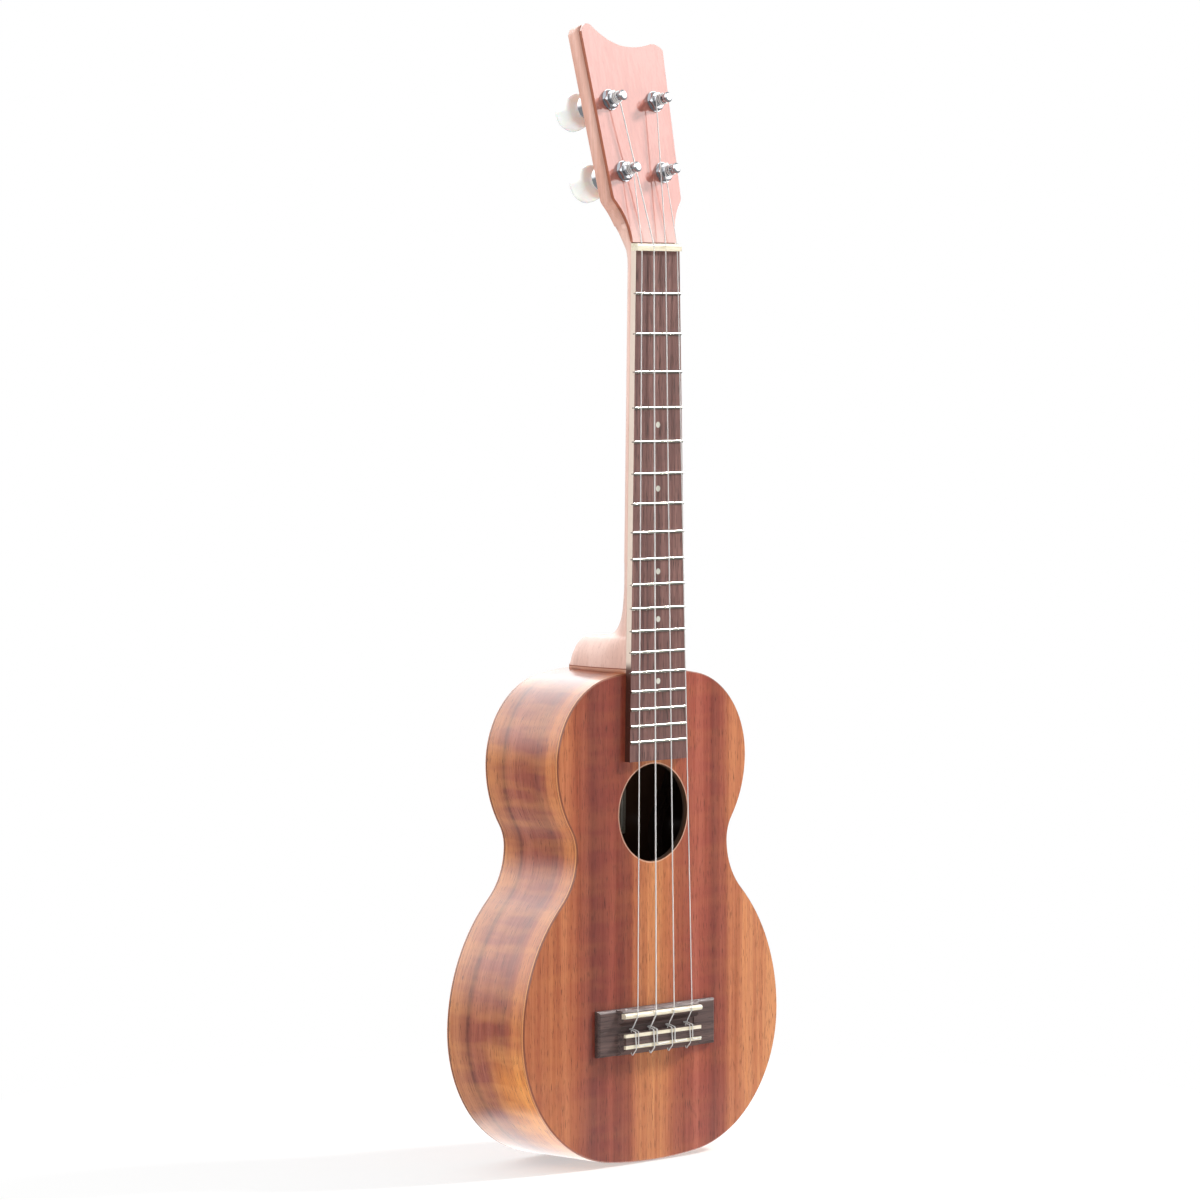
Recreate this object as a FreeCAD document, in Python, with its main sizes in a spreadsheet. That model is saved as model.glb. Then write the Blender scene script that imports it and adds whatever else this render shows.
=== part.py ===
import FreeCAD, Part
import math
import os
import Sketcher

# Long-neck concert ukulele with a 432 mm scale.
# Frame: +Z runs up the neck, +X to the right as seen from the front, the soundboard faces -Y.
# The origin is the lowest point of the body's outline on the centre line, at half the mean depth.

V = FreeCAD.Vector
Placement = FreeCAD.Placement
Rotation = FreeCAD.Rotation
IDENTITY = Placement()

doc = FreeCAD.newDocument("Ukulele")
sheet = doc.addObject("Spreadsheet::Sheet", "Sizes")

SIZES = [
    # body outline and depth
    ("body_length", 282.0, "tail to the top of the upper bout on the centre line"),
    ("upper_bout_width", 154.8, "widest line of the upper bout"),
    ("waist_width", 123.6, "narrowest line"),
    ("lower_bout_width", 209.2, "widest line of the lower bout"),
    ("upper_bout_drop", 52.0, "upper bout's widest line below the body's top"),
    ("waist_drop", 101.5, "waist below the body's top"),
    ("lower_bout_drop", 202.5, "lower bout's widest line below the body's top"),
    ("shoulder_share", 0.952, "shoulder arc's radius over the room it has, under 1"),
    ("upper_flank_share", 0.73, "upper flank's radius over the largest that meets the waist"),
    ("lower_flank_share", 0.715, "lower flank's radius over the largest that meets the waist"),
    ("tail_share", 0.981, "tail corner's radius over the room it has, under 1"),
    ("depth_at_neck", 57.5, "body depth at the neck end"),
    ("depth_at_tail", 64.5, "body depth at the tail"),
    ("top_thickness", 2.0, "soundboard"),
    ("back_thickness", 2.0, "back plate"),
    ("side_thickness", 2.0, "bent sides"),
    ("edge_bevel", 0.7, "eased outer edge of soundboard and back"),
    ("soundhole_radius", 27.95, "soundhole"),
    ("soundhole_drop", 82.0, "soundhole centre below the body's top"),
    # inside the body
    ("lining_width", 4.5, "lining strip, inward"),
    ("lining_height", 7.0, "lining strip, along the depth"),
    ("neck_block_width", 56.0, "neck block"),
    ("neck_block_length", 24.0, "neck block, down from the body's top"),
    ("tail_block_width", 58.0, "tail block"),
    ("tail_block_length", 14.0, "tail block, up from the tail"),
    ("brace_width", 6.0, "transverse braces"),
    ("brace_height", 9.0, "transverse braces"),
    ("brace_end_height", 3.0, "scalloped brace ends"),
    ("brace_scallop", 26.0, "length of the slope at each brace end"),
    ("upper_brace_drop", 42.0, "upper transverse brace below the body's top"),
    ("lower_brace_drop", 124.0, "lower transverse brace below the body's top"),
    ("fan_width", 5.0, "fan braces"),
    ("fan_height", 5.0, "fan braces"),
    ("fan_length", 104.0, "fan braces"),
    ("fan_spread", 29.0, "centre to centre of the fan braces at their upper ends"),
    ("fan_angle", 7.0, "splay of the outer fan braces, degrees"),
    ("plate_width", 112.0, "bridge plate"),
    ("plate_length", 36.0, "bridge plate"),
    ("plate_thickness", 1.8, "bridge plate"),
    ("ring_width", 8.5, "soundhole reinforcement ring"),
    ("ring_thickness", 1.6, "soundhole reinforcement ring"),
    ("back_brace_drop", 46.0, "upper back brace below the body's top"),
    ("back_brace_step", 76.0, "spacing of the back braces"),
    ("label_width", 72.0, "paper label"),
    ("label_height", 50.0, "paper label"),
    ("label_thickness", 0.3, "paper label with its glue"),
    ("label_drop", 75.0, "label's middle below the body's top"),
    # scale, neck and fretboard
    ("scale_length", 432.0, "nut to saddle without compensation"),
    ("joint_offset", 1.1, "body's top above the fourteenth fret"),
    ("nut_width", 35.6, "fretboard width at the nut"),
    ("board_width_end", 46.6, "fretboard width at its lower end"),
    ("board_thickness", 3.9, "fretboard"),
    ("board_past_fret", 11.0, "fretboard beyond the last fret"),
    ("fret_height", 0.8, "fret crown above the board"),
    ("fret_width", 2.0, "fret crown"),
    ("tang_width", 0.5, "fret tang"),
    ("tang_depth", 1.5, "fret tang"),
    ("slot_clearance", 0.05, "fret slot and inlay clearance"),
    ("dot_radius", 1.7, "position dots"),
    ("dot_depth", 1.2, "position dots"),
    ("nut_thickness", 4.2, "nut along the neck"),
    ("nut_above_frets", 0.95, "nut top above the fret crowns"),
    ("neck_depth_nut", 12.6, "neck wood behind the fretboard at the nut"),
    ("neck_depth_heel", 14.2, "neck wood behind the fretboard above the heel"),
    ("heel_height", 18.5, "heel ledge above the body's top"),
    ("heel_depth", 56.6, "heel behind the fretboard"),
    ("heel_half_width", 20.0, "half width of the heel's end at the body"),
    ("heel_ledge_half_width", 8.0, "half width of the heel's end at the ledge"),
    ("heel_round_height", 17.0, "rounded end of the heel, along the neck"),
    ("heel_round_depth", 7.0, "rounded end of the heel, along the depth"),
    ("hollow_height", 27.0, "hollow between neck and heel, along the neck"),
    ("hollow_depth", 17.0, "hollow between neck and heel, along the depth"),
    # headstock
    ("head_tilt", 12.5, "headstock leaning back, degrees"),
    ("head_thickness", 9.5, "headstock core"),
    ("headplate_thickness", 1.5, "face veneer"),
    ("head_length", 127.65, "pivot to the bass horn's peak, along the face"),
    ("head_half_top", 32.2, "half width at the crown"),
    ("head_half_foot", 27.6, "half width above the lower corners"),
    ("head_foot", 28.35, "end of the lower corners above the pivot"),
    ("volute_rise", 12.0, "start of the headstock's flat back above the pivot"),
    ("crown_dip", 12.6, "dip of the crown below the bass horn"),
    ("treble_horn_drop", 10.1, "treble horn below the bass horn"),
    # tuners
    ("lower_post_offset", 16.0, "lower posts from the centre line"),
    ("upper_post_offset", 18.3, "upper posts from the centre line"),
    ("lower_post_rise", 41.55, "lower posts above the pivot"),
    ("upper_post_rise", 83.25, "upper posts above the pivot"),
    ("washer_radius", 6.1, "washer"),
    ("washer_thickness", 0.7, "washer"),
    ("hex_across", 10.0, "hex nut across flats"),
    ("hex_thickness", 2.6, "hex nut"),
    ("stem_radius", 4.0, "threaded stem of the housing"),
    ("stem_clearance", 0.1, "stem in its hole"),
    ("housing_radius", 7.0, "gear housing"),
    ("housing_length", 8.0, "gear housing behind the headstock"),
    ("post_radius", 3.0, "string post in the stem"),
    ("post_waist", 2.6, "string post where the string winds"),
    ("post_height", 12.0, "post above the headstock face"),
    ("post_hole_radius", 0.8, "string hole in the post"),
    ("post_hole_drop", 3.75, "string hole below the post's top"),
    ("turning_clearance", 0.05, "radial running clearance of post and shaft"),
    ("shaft_radius", 2.2, "button shaft"),
    ("button_gap", 1.5, "housing to button"),
    ("button_radius", 9.7, "button"),
    ("button_length", 12.0, "button along its axis"),
    ("button_seat", 8.0, "shaft inside the button"),
    ("button_clearance", 0.03, "shaft in its seat"),
    ("collar_radius", 3.8, "collar between button and housing"),
    # bridge
    ("bridge_length", 96.0, "bridge across the top"),
    ("bridge_width", 26.3, "bridge along the strings"),
    ("bridge_wing", 3.2, "wing height"),
    ("bridge_block_length", 66.0, "raised middle"),
    ("tie_height", 7.8, "tie block"),
    ("tie_from", 3.6, "tie block's rear edge from the bridge's rear edge"),
    ("tie_to", 12.6, "tie block's front edge from the bridge's rear edge"),
    ("valley_height", 2.8, "floor between tie block and saddle"),
    ("saddle_seat", 6.3, "bridge height at the saddle"),
    ("saddle_from_rear", 22.6, "saddle centre from the bridge's rear edge"),
    ("saddle_thickness", 3.0, "saddle"),
    ("saddle_length", 63.0, "saddle"),
    ("saddle_slot_depth", 3.0, "saddle slot"),
    ("saddle_top", 8.8, "saddle top above the soundboard"),
    ("compensation", 2.5, "saddle behind the nominal scale"),
    ("strip_width", 2.0, "bone strips on the tie block"),
    ("strip_height", 1.6, "bone strips, most of it let into the block"),
    ("strip_length", 62.2, "bone strips"),
    ("strip_proud", 0.35, "strips above the tie block"),
    ("tie_hole_radius", 0.9, "string holes in the tie block"),
    # strings
    ("nut_string_step", 9.65, "string spacing at the nut"),
    ("saddle_string_step", 14.9, "string spacing at the saddle"),
    ("nut_action", 0.25, "strings above the fret crowns at the nut"),
    ("string_g_radius", 0.31, "fourth string"),
    ("string_c_radius", 0.41, "third string"),
    ("string_e_radius", 0.35, "second string"),
    ("string_a_radius", 0.29, "first string"),
    ("string_clearance", 0.04, "string in its nut slot and over the saddle"),
    ("wrap_clearance", 0.12, "string turns round the post"),
    ("wrap_pitch", 1.3, "pitch of the turns on the post"),
    ("wrap_start", 4.7, "lowest turn above the headstock face"),
    ("tail_reach", 9.5, "loose string end along the tie block"),
]

for row, (alias, value, note) in enumerate(SIZES, 1):
    sheet.set("A%d" % row, note)
    sheet.set("B%d" % row, str(value))
    sheet.setAlias("B%d" % row, alias)
doc.recompute()

LAST_FRET = 18
JOINT_FRET = 14
DOT_FRETS = (5, 7, 10, 12, 15)
WRAP_QUARTERS = 11

STRINGS = ("g", "c", "e", "a")
# The strings leave the nut a little below its upper edge, in a small bend.
NUT_CREST = 1.0
NUT_BEND = 2.0
STRING_SIDES = 6
BUTTON_SIDES = 8


def mm(alias):
    return float(sheet.get(alias))


# Planes and heights that several pieces share.
Y_TOP = -(mm("depth_at_neck") + mm("depth_at_tail")) / 4
Z_BODY = mm("body_length")


def fret_distance(number):
    """Distance of a fret from the nut along an equal-tempered scale."""
    return mm("scale_length") * (1 - 2 ** (-number / 12))


Z_NUT = Z_BODY + fret_distance(JOINT_FRET) - mm("joint_offset")
Z_PIVOT = Z_NUT + mm("nut_thickness")
Z_SADDLE = Z_NUT - mm("scale_length") - mm("compensation")
Z_BRIDGE = Z_SADDLE - mm("saddle_from_rear")
Z_BOARD_END = Z_NUT - fret_distance(LAST_FRET) - mm("board_past_fret")
Z_SOUNDHOLE = Z_BODY - mm("soundhole_drop")
Y_BOARD = Y_TOP - mm("board_thickness")
Y_FRETS = Y_BOARD - mm("fret_height")
Y_CAVITY = Y_TOP + mm("top_thickness")
HEAD = Placement(V(0, Y_TOP, Z_PIVOT), Rotation(V(1, 0, 0), 90 - mm("head_tilt")))
FACE = mm("headplate_thickness")


def back_plane(z):
    """Y of the back plate's outer face at a height."""
    taper = mm("depth_at_tail") - mm("depth_at_neck")
    return Y_TOP + mm("depth_at_neck") + taper * (1 - z / Z_BODY)


BACK_TILT = math.atan((mm("depth_at_tail") - mm("depth_at_neck")) / Z_BODY)


def feature(name, shape, placement=IDENTITY):
    """A sub-part whose shape is set directly, for sculpted and swept forms."""
    item = doc.addObject("Part::Feature", name)
    item.Label = name
    item.Shape = shape
    item.Placement = placement
    return item


def bind(item, **sizes):
    """Bind properties of an object to cells of the sheet."""
    for prop, expression in sizes.items():
        item.setExpression(prop.replace("_", "."), expression)


def new_body(name, placement=IDENTITY):
    body = doc.addObject("PartDesign::Body", name)
    body.Label = name
    body.Placement = placement
    return body


def sketch_on(body, role, offset=0.0):
    """A sketch on one of the body's own origin planes, moved along its normal."""
    plane = [part for part in body.Origin.OriginFeatures if part.Role == role][0]
    sketch = body.newObject("Sketcher::SketchObject", body.Name + "_sketch")
    sketch.AttachmentSupport = [(plane, "")]
    sketch.MapMode = "FlatFace"
    sketch.AttachmentOffset = Placement(V(0, 0, offset), Rotation())
    return sketch


def closed_lines(sketch, points):
    """A closed polygon through the points, its corners joined."""
    first = sketch.GeometryCount
    count = len(points)
    for index in range(count):
        start = V(*points[index], 0)
        end = V(*points[(index + 1) % count], 0)
        sketch.addGeometry(Part.LineSegment(start, end), False)
    for index in range(count):
        following = first + (index + 1) % count
        sketch.addConstraint(Sketcher.Constraint("Coincident", first + index, 2, following, 1))
    return first


def name_last(sketch, label, expression):
    """Name the newest constraint and bind it to a size."""
    index = sketch.ConstraintCount - 1
    sketch.renameConstraint(index, label)
    sketch.setExpression("Constraints." + label, expression)


def rectangle(sketch, width, height, width_size, height_size):
    """A rectangle centred on the sketch's origin, both sizes bound to the sheet."""
    right = width / 2
    top = height / 2
    first = closed_lines(sketch, [(-right, -top), (right, -top), (right, top), (-right, top)])
    sketch.addConstraint(Sketcher.Constraint("Horizontal", first))
    sketch.addConstraint(Sketcher.Constraint("Horizontal", first + 2))
    sketch.addConstraint(Sketcher.Constraint("Vertical", first + 1))
    sketch.addConstraint(Sketcher.Constraint("Vertical", first + 3))
    sketch.addConstraint(Sketcher.Constraint("Symmetric", first, 1, first + 2, 1, -1, 1))
    sketch.addConstraint(Sketcher.Constraint("DistanceX", first, 1, first, 2, width))
    name_last(sketch, "width", width_size)
    sketch.addConstraint(Sketcher.Constraint("DistanceY", first + 1, 1, first + 1, 2, height))
    name_last(sketch, "height", height_size)


def circle(sketch, x, y, radius, label, expression):
    """A circle at a fixed centre, its radius bound to the sheet."""
    index = sketch.GeometryCount
    sketch.addGeometry(Part.Circle(V(x, y, 0), V(0, 0, 1), radius), False)
    sketch.addConstraint(Sketcher.Constraint("DistanceX", -1, 1, index, 3, x))
    sketch.addConstraint(Sketcher.Constraint("DistanceY", -1, 1, index, 3, y))
    sketch.addConstraint(Sketcher.Constraint("Radius", index, radius))
    name_last(sketch, label, expression)


def pad(body, sketch, length, expression=None, reverse=False):
    item = body.newObject("PartDesign::Pad", body.Name + "_pad")
    item.Profile = sketch
    item.Length = length
    item.Reversed = reverse
    if expression:
        item.setExpression("Length", expression)
    body.Tip = item
    return item


def pocket(body, sketch, length, reverse=False):
    """A cut from the sketch plane into the solid."""
    item = body.newObject("PartDesign::Pocket", body.Name + "_pocket")
    item.Profile = sketch
    item.Length = length
    item.Reversed = reverse
    body.Tip = item
    return item


def turned(name, profile, placement):
    """A solid of revolution about its own Z axis from (radius, height) points."""
    body = new_body(name, placement)
    sketch = sketch_on(body, "XZ_Plane")
    closed_lines(sketch, profile)
    turn = body.newObject("PartDesign::Revolution", name + "_turn")
    turn.Profile = sketch
    turn.ReferenceAxis = (sketch, ["V_Axis"])
    turn.Angle = 360.0
    body.Tip = turn
    return body


def box(x0, x1, y0, y1, z0, z1):
    return Part.makeBox(x1 - x0, y1 - y0, z1 - z0, V(x0, y0, z0))


def three_point_arc(start, middle, end):
    return Part.Arc(V(*start), V(*middle), V(*end)).toShape()


# Body outline: eight tangent arcs a side. A radius is negative where the outline is hollow.


def outline_arcs():
    """Arcs of the right half as (centre x, centre z, radius, first and last normal angle)."""
    half_upper = mm("upper_bout_width") / 2
    half_waist = mm("waist_width") / 2
    half_lower = mm("lower_bout_width") / 2
    z_upper = Z_BODY - mm("upper_bout_drop")
    z_waist = Z_BODY - mm("waist_drop")
    z_lower = Z_BODY - mm("lower_bout_drop")
    shoulder = mm("shoulder_share") * min(Z_BODY - z_upper, half_upper)
    corner = mm("tail_share") * min(z_lower, half_lower)

    def flank_radius(share, step, rise):
        """A share of the one arc that would reach the waist by itself."""
        return share * (rise ** 2 + step ** 2) / (2 * step)

    upper_flank = flank_radius(mm("upper_flank_share"), half_upper - half_waist, z_upper - z_waist)
    lower_flank = flank_radius(mm("lower_flank_share"), half_lower - half_waist, z_waist - z_lower)

    def closing_radius(radius, centre_x, rise):
        """Radius of a centred arc that ends level on the centre line and touches its neighbour."""
        return (centre_x ** 2 + rise ** 2 - radius ** 2) / (2 * (rise - radius))

    def waist_radius(flank, flank_x, rise):
        """Radius of a hollow arc that is upright at the waist and touches its flank."""
        reach = half_waist - flank_x
        return (reach ** 2 + rise ** 2 - flank ** 2) / (2 * (flank - reach))

    crown = closing_radius(shoulder, half_upper - shoulder, Z_BODY - z_upper)
    upper_waist = waist_radius(upper_flank, half_upper - upper_flank, z_upper - z_waist)
    lower_waist = waist_radius(lower_flank, half_lower - lower_flank, z_waist - z_lower)
    tail = closing_radius(corner, half_lower - corner, z_lower)

    to_shoulder = math.atan2(z_upper - (Z_BODY - crown), half_upper - shoulder)
    to_upper_waist = math.atan2(z_waist - z_upper, half_waist + upper_waist - half_upper + upper_flank)
    to_lower_waist = math.atan2(z_waist - z_lower, half_waist + lower_waist - half_lower + lower_flank)
    to_corner = math.atan2(z_lower - tail, half_lower - corner)
    return [
        (0, Z_BODY - crown, crown, math.pi / 2, to_shoulder),
        (half_upper - shoulder, z_upper, shoulder, to_shoulder, 0),
        (half_upper - upper_flank, z_upper, upper_flank, 0, to_upper_waist),
        (half_waist + upper_waist, z_waist, -upper_waist, to_upper_waist, 0),
        (half_waist + lower_waist, z_waist, -lower_waist, 0, to_lower_waist),
        (half_lower - lower_flank, z_lower, lower_flank, to_lower_waist, 0),
        (half_lower - corner, z_lower, corner, 0, to_corner),
        (0, tail, tail, to_corner, -math.pi / 2),
    ]


OUTLINE = outline_arcs()


def outline_face(inset):
    """The body's outline in the XZ plane, moved inward by the inset."""
    right = []
    left = []
    for x, z, radius, first, last in OUTLINE:
        points = []
        for angle in (first, (first + last) / 2, last):
            reach = radius - inset
            points.append((x + reach * math.cos(angle), 0, z + reach * math.sin(angle)))
        right.append(three_point_arc(*points))
        mirrored = [(-point[0], 0, point[2]) for point in reversed(points)]
        left.append(three_point_arc(*mirrored))
    left.reverse()
    return Part.Face(Part.Wire(right + left))


def outline_prism(inset, y_from, y_to):
    face = outline_face(inset)
    face.translate(V(0, y_from, 0))
    return face.extrude(V(0, y_to - y_from, 0))


def half_width(z, inset):
    """Half width of the outline at a height, moved inward by the inset."""
    for x, centre, radius, first, last in OUTLINE:
        reach = radius - inset
        sine = (z - centre) / reach
        if abs(sine) > 1:
            continue
        angle = math.asin(sine)
        if min(first, last) - 1e-9 <= angle <= max(first, last) + 1e-9:
            return x + reach * math.cos(angle)
    raise ValueError("the outline has no point at that height")


def between(y_front, behind):
    """The space from an upright plane to the back's outer plane, less a thickness."""
    margin = 30
    low = -margin
    high = Z_BODY + margin
    side = mm("lower_bout_width")
    inward = behind / math.cos(BACK_TILT)
    corners = [
        V(-side, y_front, low),
        V(-side, back_plane(low) - inward, low),
        V(-side, back_plane(high) - inward, high),
        V(-side, y_front, high),
    ]
    return Part.Face(Part.makePolygon(corners + corners[:1])).extrude(V(2 * side, 0, 0))


def eased_plate(thickness, outward):
    """A plate of the body's outline, its outer edge bevelled; outward is -1 or 1 along Y."""
    plate = outline_face(0).extrude(V(0, -outward * thickness, 0))
    bevel = min(mm("edge_bevel"), 0.45 * thickness)
    edges = [edge for edge in plate.Edges if edge.BoundBox.YMax - edge.BoundBox.YMin < 1e-6]
    edges = [edge for edge in edges if abs(edge.BoundBox.YMin) < 1e-6]
    return plate.makeChamfer(bevel, edges)


Y_REAR = back_plane(0) + mm("depth_at_tail") / 3
OUTER = outline_prism(0, Y_TOP, Y_REAR)
INNER = outline_prism(mm("side_thickness"), Y_TOP - 5, Y_REAR + 5)
CAVITY = outline_prism(mm("side_thickness"), Y_CAVITY, Y_REAR).common(between(Y_CAVITY, mm("back_thickness")))
LINED = outline_prism(mm("side_thickness") + mm("lining_width"), Y_TOP - 5, Y_REAR + 5)


def soundhole_cylinder(radius, y_from, y_to):
    return Part.makeCylinder(radius, y_to - y_from, V(0, y_from, Z_SOUNDHOLE), V(0, 1, 0))


def make_soundboard():
    plate = eased_plate(mm("top_thickness"), -1)
    reach = 2 * mm("top_thickness")
    hole = Part.makeCylinder(mm("soundhole_radius"), 2 * reach, V(0, -reach, Z_SOUNDHOLE), V(0, 1, 0))
    feature("soundboard", plate.cut(hole), Placement(V(0, Y_TOP, 0), Rotation()))


def make_back():
    """The back plate leans with the taper of the body."""
    plate = eased_plate(mm("back_thickness"), 1)
    lean = Rotation(V(1, 0, 0), math.degrees(BACK_TILT))
    feature("back_plate", plate, Placement(V(0, back_plane(0), 0), lean))


def make_sides():
    rim = OUTER.cut(INNER).common(between(Y_CAVITY, mm("back_thickness")))
    reach = mm("lower_bout_width")
    for name, x0, x1 in (("side_bass", -reach, 0), ("side_treble", 0, reach)):
        feature(name, rim.common(box(x0, x1, Y_TOP, Y_REAR, -10, Z_BODY + 10)))


def make_linings():
    """Four strips in the corners between sides and plates, open at the two blocks."""
    ring = CAVITY.cut(LINED)
    reach = mm("lower_bout_width")
    height = mm("lining_height")
    front = ring.common(box(-reach, reach, Y_CAVITY, Y_CAVITY + height, -10, Z_BODY + 10))
    rear = ring.cut(between(Y_CAVITY - 5, mm("back_thickness") + height))
    neck_half = mm("neck_block_width") / 2
    tail_half = mm("tail_block_width") / 2
    blocks = box(-neck_half, neck_half, Y_TOP, Y_REAR, Z_BODY / 2, Z_BODY + 10)
    blocks = blocks.fuse(box(-tail_half, tail_half, Y_TOP, Y_REAR, -10, Z_BODY / 2))
    for side, x0, x1 in (("bass", -reach, 0), ("treble", 0, reach)):
        half = box(x0, x1, Y_TOP, Y_REAR, -10, Z_BODY + 10)
        feature("lining_top_" + side, front.common(half).cut(blocks))
        feature("lining_back_" + side, rear.common(half).cut(blocks))


def make_block(name, width, length, foot):
    """A block that fills the cavity from plate to plate and fits the curved side."""
    stock = doc.addObject("Part::Box", name + "_stock")
    depth = Y_REAR - Y_TOP
    bind(stock, Length="Sizes." + width, Height="Sizes.%s + 10" % length)
    stock.Width = depth
    stock.Placement = Placement(V(-mm(width) / 2, Y_TOP, foot), Rotation())
    space = feature(name + "_space", CAVITY)
    block = doc.addObject("Part::Common", name)
    block.Label = name
    block.Base = stock
    block.Tool = space


def brace_length(z, inset=0.25):
    """Length of a cross brace that just clears both linings over its own width."""
    edge = mm("side_thickness") + mm("lining_width") + inset
    reach = mm("brace_width") / 2
    return 2 * min(half_width(z - reach, edge), half_width(z + reach, edge))


def brace(name, length, width_size, height_size, placement, scallop, cutter=None):
    """A strip with sloped ends: its foot lies on local Z = 0 and it stands along +Z."""
    body = new_body(name if cutter is None else name + "_stock", placement)
    sketch = sketch_on(body, "XZ_Plane", -mm(width_size) / 2)
    height = mm(height_size)
    end = min(mm("brace_end_height"), 0.6 * height)
    half = length / 2
    outline = [(-half, 0), (half, 0), (half, end), (half - scallop, height), (scallop - half, height), (-half, end)]
    closed_lines(sketch, outline)
    pad(body, sketch, mm(width_size), "Sizes." + width_size)
    if cutter is None:
        return
    notched = doc.addObject("Part::Cut", name)
    notched.Label = name
    notched.Base = body
    notched.Tool = cutter


def make_top_braces():
    """Cross braces above and below the soundhole, bridge plate and three fan braces."""
    inward = Rotation(V(1, 0, 0), -90)
    for name, drop in (("top_brace_upper", "upper_brace_drop"), ("top_brace_lower", "lower_brace_drop")):
        z = Z_BODY - mm(drop)
        place = Placement(V(0, Y_CAVITY, z), inward)
        brace(name, brace_length(z), "brace_width", "brace_height", place, mm("brace_scallop"))
    plate = doc.addObject("Part::Box", "bridge_plate")
    plate.Label = "bridge_plate"
    bind(plate, Length="Sizes.plate_width", Width="Sizes.plate_thickness", Height="Sizes.plate_length")
    z_plate = Z_BRIDGE + (mm("bridge_width") - mm("plate_length")) / 2
    plate.Placement = Placement(V(-mm("plate_width") / 2, Y_CAVITY, z_plate), Rotation())
    z_head = Z_BODY - mm("lower_brace_drop") - mm("brace_width") / 2 - 3
    for name, side in (("fan_brace_bass", -1), ("fan_brace_centre", 0), ("fan_brace_treble", 1)):
        splay = -side * mm("fan_angle")
        half = mm("fan_length") / 2
        x = side * (mm("fan_spread") + half * math.sin(math.radians(mm("fan_angle"))))
        z = z_head - half * math.cos(math.radians(splay))
        upright = Rotation(V(0, 1, 0), 90 + splay).multiply(Rotation(V(1, 0, 0), -90))
        place = Placement(V(x, Y_CAVITY, z), upright)
        brace(name, mm("fan_length"), "fan_width", "fan_height", place, mm("brace_scallop") / 2, plate)


def make_soundhole_ring():
    outer = soundhole_cylinder(mm("soundhole_radius") + mm("ring_width"), Y_CAVITY, Y_CAVITY + mm("ring_thickness"))
    feature("soundhole_ring", outer.cut(soundhole_cylinder(mm("soundhole_radius"), Y_TOP, Y_REAR)))


def make_back_braces():
    """Three cross braces on the back's inner face, which leans with the back."""
    lean = math.degrees(BACK_TILT)
    for index, name in enumerate(("back_brace_upper", "back_brace_middle", "back_brace_lower")):
        z = Z_BODY - mm("back_brace_drop") - index * mm("back_brace_step")
        y = back_plane(z) - mm("back_thickness") / math.cos(BACK_TILT)
        place = Placement(V(0, y, z), Rotation(V(1, 0, 0), 90 + lean))
        brace(name, brace_length(z), "brace_width", "brace_height", place, mm("brace_scallop"))


def make_label():
    """A blank paper label on the back's inner face, seen through the soundhole."""
    z = Z_BODY - mm("label_drop")
    y = back_plane(z) - mm("back_thickness") / math.cos(BACK_TILT)
    lean = Rotation(V(1, 0, 0), 90 + math.degrees(BACK_TILT))
    body = new_body("label", Placement(V(0, y, z), lean))
    sketch = sketch_on(body, "XY_Plane")
    rectangle(sketch, mm("label_width"), mm("label_height"), "Sizes.label_width", "Sizes.label_height")
    pad(body, sketch, mm("label_thickness"), "Sizes.label_thickness")


# Fretboard, frets and inlays


def board_half_width(z):
    """Half width of the tapering fretboard."""
    share = (Z_NUT - z) / (Z_NUT - Z_BOARD_END)
    return (mm("nut_width") + share * (mm("board_width_end") - mm("nut_width"))) / 2


def fret_z(number):
    return Z_NUT - fret_distance(number)


def make_fretboard():
    """Tapered board with slots for the tangs and seats for the dots."""
    body = new_body("fretboard", Placement(V(0, Y_TOP, 0), Rotation()))
    sketch = sketch_on(body, "XZ_Plane")
    end = board_half_width(Z_BOARD_END)
    top = board_half_width(Z_NUT)
    closed_lines(sketch, [(-end, Z_BOARD_END), (end, Z_BOARD_END), (top, Z_NUT), (-top, Z_NUT)])
    pad(body, sketch, mm("board_thickness"), "Sizes.board_thickness")
    slots = sketch_on(body, "XZ_Plane", mm("board_thickness"))
    half = mm("tang_width") / 2 + mm("slot_clearance")
    for number in range(1, LAST_FRET + 1):
        z = fret_z(number)
        x = board_half_width(z) + 1
        closed_lines(slots, [(-x, z - half), (x, z - half), (x, z + half), (-x, z + half)])
    pocket(body, slots, mm("tang_depth") + mm("slot_clearance"))
    seats = sketch_on(body, "XZ_Plane", mm("board_thickness"))
    for number in DOT_FRETS:
        circle(seats, 0, dot_z(number), mm("dot_radius"), "seat%d" % number, "Sizes.dot_radius")
    pocket(body, seats, mm("dot_depth"))


def dot_z(number):
    return (fret_z(number) + fret_z(number - 1)) / 2


def fret_shape(z):
    """Domed crown on the board with a tang in its slot."""
    half = mm("fret_width") / 2
    top = Y_BOARD - mm("fret_height")
    reach = board_half_width(z) - 0.1
    crown = three_point_arc((-reach, Y_BOARD, z - half), (-reach, top, z), (-reach, Y_BOARD, z + half))
    base = Part.LineSegment(V(-reach, Y_BOARD, z + half), V(-reach, Y_BOARD, z - half)).toShape()
    head = Part.Face(Part.Wire([crown, base])).extrude(V(2 * reach, 0, 0))
    thin = mm("tang_width") / 2
    tang = box(-reach, reach, Y_BOARD, Y_BOARD + mm("tang_depth"), z - thin, z + thin)
    return head.fuse(tang).removeSplitter()


def make_frets():
    feature("frets", Part.makeCompound([fret_shape(fret_z(number)) for number in range(1, LAST_FRET + 1)]))


def make_dots():
    """Pearl dots flush with the board."""
    dots = []
    for number in DOT_FRETS:
        depth = mm("dot_depth")
        dots.append(Part.makeCylinder(mm("dot_radius"), depth, V(0, Y_BOARD, dot_z(number)), V(0, 1, 0)))
    feature("position_dots", Part.makeCompound(dots))


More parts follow.
